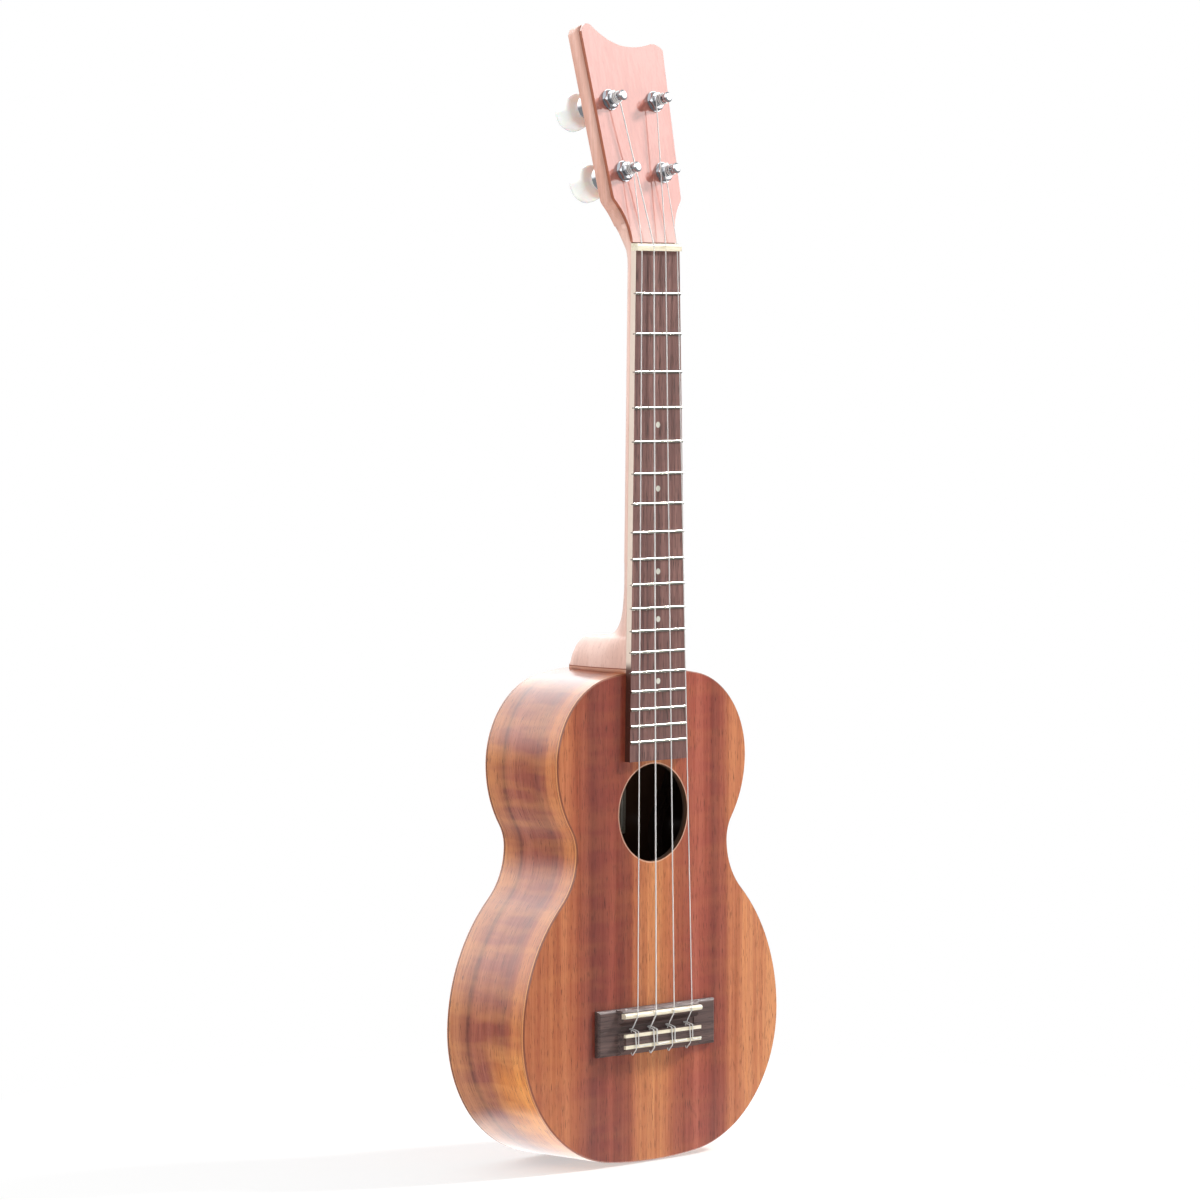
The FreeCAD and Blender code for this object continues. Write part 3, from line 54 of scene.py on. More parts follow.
def add(tree, kind, *sources, stops=(), **settings):
    """Add a node with its settings, inputs and ramp stops.

    Sources fill the live inputs in order, and a setting that is no property of the node is an
    input's name. A node or socket is linked, and anything else is set as the input's value.
    """
    node = tree.nodes.new("ShaderNode" + kind)
    named = {}
    for name, value in settings.items():
        if name in node.bl_rna.properties:
            setattr(node, name, value)
        else:
            named[name.replace("_", " ")] = value
    pairs = list(zip([socket for socket in node.inputs if socket.enabled], sources))
    pairs += [(node.inputs[name], value) for name, value in named.items()]
    for socket, value in pairs:
        if isinstance(value, bpy.types.Node):
            value = next(output for output in value.outputs if output.enabled)
        if isinstance(value, bpy.types.NodeSocket):
            tree.links.new(value, socket)
        else:
            socket.default_value = value
    if stops:
        elements = node.color_ramp.elements
        node.color_ramp.interpolation = "EASE"
        while len(elements) < len(stops):
            elements.new(0.5)
        for element, (position, code) in zip(elements, stops):
            element.position = position
            element.color = colour(code)
    return node


def new_material(name):
    """An empty material and its node tree."""
    material = bpy.data.materials.new(name)
    material.use_nodes = True
    material.node_tree.nodes.clear()
    return material, material.node_tree


camera_data = bpy.data.cameras.new("camera")
camera_data.sensor_width = 36.0
camera_data.lens = 159.84
camera_data.clip_start = 0.1
camera_data.clip_end = 50.0
camera = bpy.data.objects.new("camera", camera_data)
bpy.context.scene.collection.objects.link(camera)
bpy.context.scene.camera = camera
turn = math.radians(-45.44)
drop = math.radians(2.736)
roll = math.radians(-0.073)
ahead = Vector((
    -math.sin(turn) * math.cos(drop), math.cos(turn) * math.cos(drop), -math.sin(drop),
))
level_right = ahead.cross(Vector((0, 0, 1))).normalized()
level_up = level_right.cross(ahead)
rolled_right = level_right * math.cos(roll) + level_up * math.sin(roll)
rolled_up = level_up * math.cos(roll) - level_right * math.sin(roll)
pose = Matrix((rolled_right, rolled_up, -ahead)).transposed().to_4x4()
pose.translation = Vector((-2.1862, -2.1407, 0.4669))
camera.matrix_world = pose

floor_mesh = bpy.data.meshes.new("floor")
floor_reach = 30.0
floor_signs = ((-1, -1), (1, -1), (1, 1), (-1, 1))
floor_corners = [(floor_reach * x, floor_reach * y, 0) for x, y in floor_signs]
floor_mesh.from_pydata(floor_corners, [], [(0, 1, 2, 3)])
floor = bpy.data.objects.new("floor", floor_mesh)
floor.location = (0, 0, -0.0006)
bpy.context.scene.collection.objects.link(floor)

# Matt white paper: no shine of its own. It shows white to the camera and in gloss, brightest
# under and behind the body, where the lacquer of the tail mirrors it.
white = (1.0, 1.0, 1.0, 1.0)
studio_paper, tree = new_material("studio_floor")
place = add(tree, "TexCoord").outputs["Object"]
distance = add(tree, "VectorMath", place, operation="LENGTH")
paths = add(tree, "LightPath").outputs
seen = add(tree, "Math", paths["Is Camera Ray"], paths["Is Glossy Ray"], operation="MAXIMUM")
far = add(tree, "MapRange", distance, 0.05, 0.45, 0.5, 1.0)
under_body = add(tree, "MapRange", distance, 0.108, 0.09)
rearward = add(tree, "MapRange", add(tree, "SeparateXYZ", place).outputs["Y"], -0.042, -0.030)
lit_patch = add(tree, "Math", under_body, rearward, operation="MULTIPLY")
mirrored = add(tree, "Math", lit_patch, 2.4, -0.6, operation="MULTIPLY_ADD")
strength = add(tree, "Math", paths["Is Glossy Ray"], mirrored, 1.0, operation="MULTIPLY_ADD")
glow = add(tree, "Emission", Color=white, Strength=strength)
paper = add(
    tree, "BsdfPrincipled", Base_Color=colour("#FCFCFC"), Roughness=0.7, Specular_IOR_Level=0.2
)
share = add(tree, "Math", seen, far, operation="MULTIPLY")
add(tree, "OutputMaterial", add(tree, "MixShader", share, paper, glow))
floor.data.materials.append(studio_paper)

# The world is plain white to the camera. What gloss sees of it is brighter high up at the rear
# and at the front, like the ceiling of a light tent.
world = bpy.data.worlds.new("studio")
bpy.context.scene.world = world
world.use_nodes = True
tree = world.node_tree
tree.nodes.clear()
direction = add(tree, "TexCoord").outputs["Generated"]
rise = add(tree, "SeparateXYZ", direction).outputs["Z"]
to_rear = add(tree, "VectorMath", direction, (-0.37, 0.92, 0.12), operation="DOT_PRODUCT")
level = add(tree, "MapRange", to_rear, -0.5, 0.7, 0.40, 0.9)
rear_height = add(tree, "MapRange", rise, 0.04, 0.45, 0.0, 2.9)
front_height = add(tree, "MapRange", rise, 0.12, 0.30, 0.0, 2.4)
rear_side = add(tree, "MapRange", to_rear, 0.0, 0.6)
front_side = add(tree, "MapRange", to_rear, -0.1, -0.4)
rear_light = add(tree, "Math", rear_height, rear_side, operation="MULTIPLY")
canopy = add(tree, "Math", front_height, front_side, rear_light, operation="MULTIPLY_ADD")
extra = add(tree, "Math", level, -0.2, canopy, operation="MULTIPLY_ADD")
paths = add(tree, "LightPath").outputs
strength = add(tree, "Math", paths["Is Glossy Ray"], extra, level, operation="MULTIPLY_ADD")
soft = add(tree, "Background", white, strength)
backdrop = add(tree, "Background", white, 1.0)
add(tree, "OutputWorld", add(tree, "MixShader", paths["Is Camera Ray"], soft, backdrop))


def soft_box(name, place, side, power):
    """A square soft box that points at the middle of the instrument."""
    data = bpy.data.lights.new(name, "AREA")
    data.shape = "RECTANGLE"
    data.size = data.size_y = side
    data.energy = power
    box = bpy.data.objects.new(name, data)
    box.location = place
    towards = Vector((0, 0, 0.35)) - Vector(place)
    box.rotation_euler = towards.to_track_quat("-Z", "Y").to_euler()
    bpy.context.scene.collection.objects.link(box)
    return box


soft_box("key", (1.96, -1.02, 1.9), 0.35, 90)
soft_box("left", (-1.5, 2.1, 1.7), 1.8, 34).visible_glossy = False

# Soundboard and back
# Two flat plates of figured koa, sawn along the grain, bevelled at the edge and sprayed with
# clear gloss lacquer. Red-brown bands and dark lines run beside a golden centre.


def dress(material, *names):
    """Give carried-over nodes a material."""
    for name in names:
        slots = nodes[name].data.materials
        slots.clear()
        slots.append(material)


def stretched(tree, place, scale, detail=3.0, rough=0.55, shift=(0.0, 0.0, 0.0)):
    """Noise drawn out along the grain: scale is in waves per metre on each axis."""
    mapping = add(tree, "Mapping", place, Location=shift, Scale=scale)
    return add(tree, "TexNoise", mapping, Scale=1.0, Detail=detail, Roughness=rough)


def off_centre(tree, noise, reach):
    """A noise turned into a shift of up to about half the reach each way."""
    centred = add(tree, "Math", noise, 0.5, operation="SUBTRACT")
    return add(tree, "Math", centred, reach, operation="MULTIPLY")


def koa_grain(tree, place, bands, along, curl_share):
    """The figure of koa over its bands; along names the axes that the grain follows.

    Streaks are 7 mm wide and 0.4 m long, dark lines 1.3 mm wide, and the curl across the grain
    has a wave each 10 mm. Pores are drawn 0.4 mm wide and 7 mm long, coarser than real ones,
    so that they show.
    """
    def scale(across, down):
        return tuple(down if axis in along else across for axis in "XYZ")

    streaks = stretched(tree, place, scale(150.0, 2.4), detail=6.0, rough=0.7)
    shade = add(tree, "ValToRGB", streaks, stops=[
        (0.28, "#C9A08C"), (0.45, "#EAD2C6"), (0.58, "#FFF6EA"), (0.75, "#FFE6C4"),
    ])
    paint = add(tree, "Mix", 1.0, bands, shade, data_type="RGBA", blend_type="MULTIPLY")
    lines = stretched(tree, place, scale(760.0, 7.0), detail=4.0, rough=0.6, shift=(0.3, 0.7, 0.1))
    line_share = add(tree, "MapRange", lines, 0.54, 0.72, 0.0, 0.24)
    paint = add(tree, "Mix", line_share, paint, colour("#6A2C1E"), data_type="RGBA")
    fine = stretched(tree, place, scale(1900.0, 40.0), detail=3.0, rough=0.6)
    fine_share = add(tree, "MapRange", fine, 0.4, 0.7, 0.0, 0.25)
    paint = add(tree, "Mix", fine_share, paint, colour("#7A3A24"), data_type="RGBA")
    curl = stretched(tree, place, scale(24.0, 105.0), detail=2.0, rough=0.5)
    curl_light = add(tree, "MapRange", curl, 0.42, 0.68)
    curl_light = add(tree, "Math", curl_light, curl_share, operation="MULTIPLY")
    paint = add(tree, "Mix", curl_light, paint, colour("#F0A95C"), data_type="RGBA")
    pores = stretched(tree, place, scale(2600.0, 150.0), detail=2.0, rough=0.5)
    pores = add(tree, "MapRange", pores, 0.60, 0.68)
    pore_share = add(tree, "Math", pores, 0.7, operation="MULTIPLY")
    paint = add(tree, "Mix", pore_share, paint, colour("#3E1A12"), data_type="RGBA")
    return paint, pores, fine


def lacquer_wood(tree, paint, pores, figure, **gloss):
    """Wood under lacquer: the paint, a faint bump from pores and figure, and the lacquer."""
    height = add(tree, "Math", pores, -0.6, figure, operation="MULTIPLY_ADD")
    bump = add(tree, "Bump", Height=height, Strength=0.1, Distance=0.0002)
    wood = add(
        tree, "BsdfPrincipled", Base_Color=paint, Normal=bump, Specular_IOR_Level=0.2, **gloss
    )
    add(tree, "OutputMaterial", wood)


def koa_plate(name, bands_by_mm, plate_inner_shade_and_edge, rim):
    """Koa with its grain along Z and its bands across X, placed in millimetres.

    The third argument gives the shares of the plate's inner side, which is painted dark brown as
    painted shade, and of a pale cut edge. The bevel is a dark line round the plate, and the rim has
    its own colour.
    """
    material, tree = new_material(name)
    place = add(tree, "TexCoord").outputs["Object"]
    x, y, z = add(tree, "SeparateXYZ", place).outputs
    drift = off_centre(tree, stretched(tree, place, (5.0, 5.0, 2.0), detail=1.0), 0.016)
    weave = off_centre(tree, stretched(tree, place, (80.0, 8.0, 1.6), detail=3.0), 0.012)
    across = add(tree, "Math", add(tree, "Math", x, drift, operation="ADD"), weave, operation="ADD")
    band_place = add(tree, "MapRange", across, -0.106, 0.106)
    stops = [((mm + 106) / 212, code) for mm, code in bands_by_mm]
    bands = add(tree, "ValToRGB", band_place, stops=stops)
    paint, pores, fine = koa_grain(tree, place, bands, "Z", 0.05)
    normal = add(tree, "NewGeometry").outputs["Normal"]
    turned = add(tree, "Math", add(tree, "SeparateXYZ", normal).outputs["Y"], operation="ABSOLUTE")
    bevel = add(tree, "Math", turned, 0.9, operation="LESS_THAN")
    paint = add(tree, "Mix", bevel, paint, colour("#8A4E36"), data_type="RGBA")
    outer_rim = add(tree, "Math", turned, 0.4, operation="LESS_THAN")
    paint = add(tree, "Mix", outer_rim, paint, colour(rim), data_type="RGBA")
    plate_inner_shade, pale_edge = plate_inner_shade_and_edge(tree, x, y, z)
    paint = add(tree, "Mix", pale_edge, paint, colour("#E8C6AC"), data_type="RGBA")
    # Painted shade: the plate's inner faces are painted dark brown for the dark inside the body.
    paint = add(tree, "Mix", plate_inner_shade, paint, colour("#5A3E2E"), data_type="RGBA")
    lacquer_wood(
        tree, paint, pores, fine, Roughness=0.3, Coat_Weight=0.8, Coat_Roughness=0.06
    )
    return material


def top_inside_and_hole(tree, x, y, z):
    """Painted shade on the soundboard's rear face and hole wall; the cut ring round the hole."""
    hole_height, hole_radius = 0.2, 0.028
    rise = add(tree, "Math", z, hole_height, operation="SUBTRACT")
    squares = add(tree, "Math", x, x, operation="MULTIPLY")
    squares = add(tree, "Math", rise, rise, squares, operation="MULTIPLY_ADD")
    from_hole = add(tree, "Math", squares, operation="SQRT")
    wall = add(tree, "Math", from_hole, hole_radius + 0.00005, operation="LESS_THAN")
    rear = add(tree, "Math", y, -0.0287, operation="GREATER_THAN")
    plate_inner_shade = add(tree, "Math", wall, rear, operation="MAXIMUM")
    ring = add(tree, "Math", from_hole, hole_radius + 0.0004, 0.0004, operation="COMPARE")
    return plate_inner_shade, add(tree, "Math", ring, 0.4, operation="MULTIPLY")


def back_inside(tree, x, y, z):
    """Painted shade on the back's front face, leaning with the body's taper. It has no cut edge."""
    taper, foot_depth, thickness = -0.007 / 0.282, 0.034, 0.0013
    plane = add(tree, "Math", z, taper, foot_depth - thickness, operation="MULTIPLY_ADD")
    return add(tree, "Math", y, plane, operation="LESS_THAN"), 0.0


top_bands = [
    (-106, "#B5704A"), (-92, "#B26C48"), (-82, "#B67048"), (-72, "#BC7650"), (-64, "#B06848"),
    (-58, "#9A5440"), (-50, "#7C3E36"), (-43, "#88443A"), (-34, "#93493C"), (-27, "#854034"),
    (-22, "#9A5440"), (-16, "#B46E4C"), (-8, "#CA8858"), (0, "#D09260"), (9, "#C68254"),
    (17, "#BC7652"), (23, "#AA624A"), (29, "#9E5444"), (37, "#AC5E4E"), (45, "#A25648"),
    (51, "#84443A"), (56, "#9A5444"), (64, "#BE7A56"), (78, "#CE8E64"), (106, "#D29468"),
]
dress(koa_plate("koa_soundboard", top_bands, top_inside_and_hole, "#C9824E"), "soundboard")
back_half = [
    (0, "#8C4636"), (8, "#98503C"), (18, "#B26444"), (36, "#C47C4A"), (52, "#A4563E"),
    (60, "#8E4836"), (70, "#B66A44"), (84, "#D08C56"), (106, "#C98652"),
]
back_bands = [(-mm, code) for mm, code in reversed(back_half[1:])] + back_half
dress(koa_plate("koa_back", back_bands, back_inside, "#B46E4A"), "back_plate")

# Sides
# Two bent strips of the same koa, gloss lacquered and rubbed down a little less than the plates,
# which softens what they mirror. The bands run round the body, so they lie across its depth:
# gold at both edges, a red-brown middle between two dark lines, and a gold tail with more curl.

koa_sides, tree = new_material("koa_sides")
place = add(tree, "TexCoord").outputs["Object"]
x, y, z = add(tree, "SeparateXYZ", place).outputs
drift = off_centre(tree, stretched(tree, place, (7.0, 5.0, 7.0), detail=2.0), 0.014)
weave = off_centre(tree, stretched(tree, place, (5.0, 80.0, 5.0), detail=4.0), 0.008)
depth = add(tree, "Math", add(tree, "Math", y, drift, operation="ADD"), weave, operation="ADD")
bands = add(tree, "ValToRGB", add(tree, "MapRange", depth, -0.0305, 0.034), stops=[
    (0.0, "#C68050"), (0.054, "#C27A4C"), (0.13, "#BC744C"), (0.186, "#A45E48"),
    (0.256, "#8C4E42"), (0.318, "#9C5848"), (0.42, "#A05C4C"), (0.52, "#9E5A4A"),
    (0.6, "#A66250"), (0.64, "#985848"), (0.674, "#804C40"), (0.73, "#AA6E54"),
    (0.80, "#BC7E5C"), (0.88, "#CA8E66"), (1.0, "#D29A72"),
])
low_down = add(tree, "MapRange", z, 0.075, 0.055)
frontward = add(tree, "MapRange", y, 0.003, -0.009)
tail_gold = add(tree, "Math", low_down, frontward, operation="MULTIPLY")
gold_share = add(tree, "Math", tail_gold, 0.9, operation="MULTIPLY")
bands = add(tree, "Mix", gold_share, bands, colour("#E89E48"), data_type="RGBA")
curl_share = add(tree, "MapRange", tail_gold, 0.0, 1.0, 0.2, 0.55)
paint, pores, fine = koa_grain(tree, place, bands, "XZ", curl_share)
# Painted shade: the sides' inner faces, turned toward the body's middle, are painted near black.
normal = add(tree, "NewGeometry").outputs["Normal"]
from_middle = add(tree, "VectorMath", place, (0.0, 0.0, 0.13), operation="SUBTRACT")
facing = add(tree, "VectorMath", normal, from_middle, operation="DOT_PRODUCT")
side_inner_shade = add(tree, "Math", facing, -0.008, operation="LESS_THAN")
paint = add(tree, "Mix", side_inner_shade, paint, colour("#2B1A12"), data_type="RGBA")
lacquer_wood(tree, paint, pores, fine, Roughness=0.28, Coat_Weight=0.9, Coat_Roughness=0.17)
dress(koa_sides, "side_bass", "side_treble")

# Blocks, linings, braces and patches
# Plain wood glued inside the body and left bare. It is planed and dull, and painted near black
# as the shade inside the closed body.

bare_wood, tree = new_material("bare_wood")
place = add(tree, "TexCoord").outputs["Object"]
streaks = stretched(tree, place, (300.0, 300.0, 12.0), detail=4.0)
# Painted shade: near-black browns for the dark inside the body.
inside_shade_tones = [(0.3, "#2C1D14"), (0.55, "#3B281C"), (0.75, "#463123")]
paint = add(tree, "ValToRGB", streaks, stops=inside_shade_tones)
add(tree, "OutputMaterial", add(tree, "BsdfPrincipled", Base_Color=paint, Roughness=0.75))
inner = ["neck_block", "tail_block", "bridge_plate", "soundhole_ring"]
inner_kinds = ("lining_", "top_brace", "fan_brace", "back_brace")
inner += [name for name in nodes if name.startswith(inner_kinds)]
dress(bare_wood, *inner)

# Label
# A blank paper label glued to the back under the soundhole. Uncoated paper with a mottle of
# 1 mm and a pale printed frame line 3 mm inside its edge.

label_paper, tree = new_material("label_paper")
half_width, half_height, label_middle = 0.036, 0.025, 0.207
place = add(tree, "TexCoord").outputs["Object"]
x, y, z = add(tree, "SeparateXYZ", place).outputs
from_side = add(tree, "Math", x, operation="ABSOLUTE")
from_side = add(tree, "Math", half_width, from_side, operation="SUBTRACT")
from_end = add(tree, "Math", z, label_middle, operation="SUBTRACT")
from_end = add(tree, "Math", from_end, operation="ABSOLUTE")
from_end = add(tree, "Math", half_height, from_end, operation="SUBTRACT")
from_edge = add(tree, "Math", from_side, from_end, operation="MINIMUM")
frame_line = add(tree, "Math", from_edge, 0.003, 0.0004, operation="COMPARE")
fibre = stretched(tree, place, (900.0, 900.0, 900.0), detail=4.0)
sheet = add(tree, "ValToRGB", fibre, stops=[(0.3, "#A39A8C"), (0.7, "#B3AA9B")])
paint = add(tree, "Mix", frame_line, sheet, colour("#F6F2E8"), data_type="RGBA")
add(tree, "OutputMaterial", add(tree, "BsdfPrincipled", Base_Color=paint, Roughness=0.85))
dress(label_paper, "label")

# Neck
# Paler, pinkish koa, carved to shape and finished in satin lacquer, which spreads the light
# softly. Below the head it is painted paler still, as a painted sheen of the bright studio. Its
# heel stands on the body. The head leans back, and the headplate's glue line shows as a dark
# seam along the head.

lean = math.radians(12.5)
head_normal = (0.0, -math.cos(lean), math.sin(lean))
nut_depth, nut_height = 0.0305, 0.52467
heel_foot = 0.2828


def koa_neck_wood(name, tones, side_shade_share, **gloss):
    """Koa with its grain along Z, painted paler below the head as a painted sheen; the third
    argument is the share of painted shade on the sides of the headplate.

    Streaks are 2.4 mm wide and 0.14 m long. Pores are drawn 0.5 mm wide and 8 mm long, coarser
    than real ones, so that they show.
    """
    material, tree = new_material(name)
    place = add(tree, "TexCoord").outputs["Object"]
    broad = stretched(tree, place, (45.0, 45.0, 4.0), detail=3.0)
    streaks = stretched(tree, place, (420.0, 420.0, 7.0), detail=5.0, rough=0.62)
    centred = add(tree, "Math", streaks, 0.5, operation="SUBTRACT")
    tone = add(tree, "Math", centred, 0.6, broad, operation="MULTIPLY_ADD")
    paint = add(tree, "ValToRGB", tone, stops=tones)
    rise = add(tree, "SeparateXYZ", place).outputs["Z"]
    # Painted sheen: the neck below the head is painted paler for the bright studio in its satin lacquer.
    sheen_below_head = add(tree, "MapRange", rise, 0.545, 0.52, 0.0, 0.28)
    paint = add(tree, "Mix", sheen_below_head, paint, colour("#F4E2D8"), data_type="RGBA")
    pores = stretched(tree, place, (2100.0, 2100.0, 120.0), detail=2.0, rough=0.5)
    pores = add(tree, "MapRange", pores, 0.60, 0.70)
    pore_share = add(tree, "Math", pores, 0.3, operation="MULTIPLY")
    paint = add(tree, "Mix", pore_share, paint, colour("#8A5442"), data_type="RGBA")
    heel_cap = add(tree, "Math", rise, heel_foot, operation="LESS_THAN")
    paint = add(tree, "Mix", heel_cap, paint, colour("#D8A890"), data_type="RGBA")
    cap_line = add(tree, "Math", rise, heel_foot + 0.0002, 0.0003, operation="COMPARE")
    paint = add(tree, "Mix", cap_line, paint, colour("#9A5C46"), data_type="RGBA")
    forward = add(tree, "VectorMath", place, head_normal, operation="DOT_PRODUCT")
    head_face = nut_depth * math.cos(lean) + nut_height * math.sin(lean)
    seam = add(tree, "Math", forward, head_face, 0.0007, operation="COMPARE")
    above_nut = add(tree, "Math", rise, nut_height + 0.00083, operation="GREATER_THAN")
    seam = add(tree, "Math", seam, above_nut, operation="MULTIPLY")
    seam = add(tree, "Math", seam, 0.8, operation="MULTIPLY")
    paint = add(tree, "Mix", seam, paint, colour("#9A4A26"), data_type="RGBA")
    # Painted shade: faces turned across the head's face, the headplate's sides, are painted darker brown.
    normal = add(tree, "NewGeometry").outputs["Normal"]
    squarely = add(tree, "VectorMath", normal, head_normal, operation="DOT_PRODUCT")
    squarely = add(tree, "Math", squarely, operation="ABSOLUTE")
    edge = add(tree, "Math", squarely, 0.5, operation="LESS_THAN")
    edge = add(tree, "Math", edge, side_shade_share, operation="MULTIPLY")
    paint = add(tree, "Mix", edge, paint, colour("#A04E28"), data_type="RGBA")
    lacquer_wood(tree, paint, pores, streaks, **gloss)
    return material


neck_tones = [(0.25, "#BC8674"), (0.45, "#CF9C8A"), (0.6, "#DAAC9C"), (0.8, "#C69080")]
neck_koa = koa_neck_wood(
    "koa_neck", neck_tones, 0.0, Roughness=0.42, Coat_Weight=0.6, Coat_Roughness=0.25
)
dress(neck_koa, "neck")

# The heel's ridges are worked round on a copy of the neck: its lower part is cut finely, then
# its points are eased toward their neighbours, except at the body and under the fretboard.
slices = (0.2836, 0.300, 0.315, 0.330, 0.345)
longest_edge = 0.0018
worked = bmesh.new()
worked.from_mesh(nodes["neck"].data)
bmesh.ops.remove_doubles(worked, verts=worked.verts, dist=0.00001)
for height in slices:
    everything = worked.verts[:] + worked.edges[:] + worked.faces[:]
    bmesh.ops.bisect_plane(worked, geom=everything, plane_co=(0, 0, height), plane_no=(0, 0, 1))
bmesh.ops.triangulate(worked, faces=worked.faces[:])
for _ in range(6):
    long_edges = [
        edge for edge in worked.edges
        if edge.calc_length() > longest_edge
        and all(slices[0] - 0.0001 < corner.co.z < slices[-1] + 0.0001 for corner in edge.verts)
    ]
    bmesh.ops.subdivide_edges(worked, edges=long_edges, cuts=1)
    bmesh.ops.triangulate(worked, faces=[face for face in worked.faces if len(face.verts) > 3])
for _ in range(44):
    loose = [
        corner for corner in worked.verts
        if slices[0] + 0.001 < corner.co.z < slices[-1] - 0.0015 and corner.co.y > -0.0275
    ]
    bmesh.ops.smooth_vert(
        worked, verts=loose, factor=0.5, use_axis_x=True, use_axis_y=True, use_axis_z=True
    )
neck_mesh = bpy.data.meshes.new("neck_worked")
worked.to_mesh(neck_mesh)
worked.free()
neck_mesh.polygons.foreach_set("use_smooth", [True] * len(neck_mesh.polygons))
neck_mesh.set_sharp_from_angle(angle=math.radians(45))
neck_mesh.materials.clear()
neck_mesh.materials.append(neck_koa)
neck_worked = bpy.data.objects.new("neck_worked", neck_mesh)
bpy.context.scene.collection.objects.link(neck_worked)
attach(neck_worked, "instrument")
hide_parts("neck")

# Headplate
# A thin bare koa plate glued to the face of the head, with a thick, polished gloss lacquer that
# mirrors the studio and washes its red-brown out to pink. Its sides are painted darker as painted
# shade.

plate_tones = [(0.25, "#A4584A"), (0.45, "#B06656"), (0.6, "#B87062"), (0.8, "#A85E50")]
plate_koa = koa_neck_wood(
    "koa_headplate", plate_tones, 0.9,
    Roughness=0.3, Coat_Weight=1.0, Coat_Roughness=0.06, Coat_IOR=1.95,
)
dress(plate_koa, "headplate")

# Fretboard and bridge
# Rosewood, planed and oiled, not lacquered: a dull grey-brown with open pores. These are drawn
# 0.6 mm wide, coarser than real ones, so that they show. The board's sides get a painted
# reflection of the white studio, pale over the neck, and painted shade, dark over the body.


def rosewood(name, grain, tones, body_top=None):
    """Rosewood grained along Z or X; its sides: painted shade below body_top, painted reflection above."""
    def scale(down, across):
        return (down, across, across) if grain == "X" else (across, across, down)

    material, tree = new_material(name)
    place = add(tree, "TexCoord").outputs["Object"]
    streaks = stretched(tree, place, scale(10.0, 520.0), detail=5.0, rough=0.65)
    pores = stretched(tree, place, scale(80.0, 1600.0), detail=2.0)
    pores = add(tree, "MapRange", pores, 0.56, 0.63)
    broad = stretched(tree, place, scale(9.6, 192.0), detail=3.0)
    centred = add(tree, "Math", broad, 0.5, operation="SUBTRACT")
    tone = add(tree, "Math", centred, 0.5, streaks, operation="MULTIPLY_ADD")
    paint = add(tree, "ValToRGB", tone, stops=tones)
    pore_share = add(tree, "Math", pores, 0.75, operation="MULTIPLY")
    paint = add(tree, "Mix", pore_share, paint, colour("#2A1812"), data_type="RGBA")
    if body_top:
        # Painted reflection and shade: the board's sides are pale where they mirror the white studio over
        # the neck and dark brown where they lie in shade over the body.
        rise = add(tree, "SeparateXYZ", place).outputs["Z"]
        over_neck = add(tree, "MapRange", rise, body_top, body_top + 0.006)
        edge = add(tree, "ValToRGB", over_neck, stops=[(0.0, "#4A2418"), (1.0, "#DCCBBC")])
        normal = add(tree, "NewGeometry").outputs["Normal"]
        sideways = add(tree, "SeparateXYZ", normal).outputs["X"]
        sideways = add(tree, "Math", sideways, operation="ABSOLUTE")
        on_side = add(tree, "Math", sideways, 0.8, operation="GREATER_THAN")
        paint = add(tree, "Mix", on_side, paint, edge, data_type="RGBA")
    height = add(tree, "Math", pores, -1.0, operation="MULTIPLY")
    bump = add(tree, "Bump", Height=height, Strength=0.35, Distance=0.0002)
    wood = add(tree, "BsdfPrincipled", Base_Color=paint, Normal=bump, Roughness=0.5)
    add(tree, "OutputMaterial", wood)
    return material


board_tones = [(0.3, "#523632"), (0.5, "#6C4842"), (0.7, "#805A52")]
dress(rosewood("rosewood_fretboard", "Z", board_tones, body_top=0.282), "fretboard")
bridge_tones = [(0.3, "#3A2926"), (0.5, "#523E3A"), (0.7, "#644C46")]
dress(rosewood("rosewood_bridge", "X", bridge_tones), "bridge")

# Nut, saddle and tie strips
# Bone, filed and polished: cream, a little translucent, with faint veins 1 mm wide along it.

bone, tree = new_material("bone")
place = add(tree, "TexCoord").outputs["Object"]
veins = stretched(tree, place, (120.0, 900.0, 900.0), detail=4.0)
bone_tones = [(0.3, "#D4C9AC"), (0.55, "#E2D9C2"), (0.75, "#EAE3D2")]
paint = add(tree, "ValToRGB", veins, stops=bone_tones)
polished = add(
    tree, "BsdfPrincipled", Base_Color=paint, Roughness=0.3,
    Subsurface_Weight=0.15, Subsurface_Radius=(0.002, 0.0015, 0.001),
)
add(tree, "OutputMaterial", polished)
dress(bone, "nut", "saddle", "tie_strip_front", "tie_strip_rear")

# Frets
# Drawn nickel silver wire pressed into the board's slots, crowned and polished lengthwise. The
# polishing lines are drawn 0.3 mm wide, coarser than real ones, so that they show.

nickel_silver, tree = new_material("nickel_silver")
place = add(tree, "TexCoord").outputs["Object"]
lines = stretched(tree, place, (60.0, 3000.0, 3000.0), detail=2.0)
shade = add(tree, "ValToRGB", lines, stops=[(0.3, "#9C9890"), (0.7, "#B6B2AA")])
gloss = add(tree, "MapRange", lines, 0.3, 0.7, 0.16, 0.28)
wire = add(tree, "BsdfPrincipled", Base_Color=shade, Roughness=gloss, Metallic=1.0)
add(tree, "OutputMaterial", wire)
dress(nickel_silver, "frets")

# Position dots
# Mother-of-pearl discs, inlaid and sanded flush: cloudy cream with slow shifts of tone.


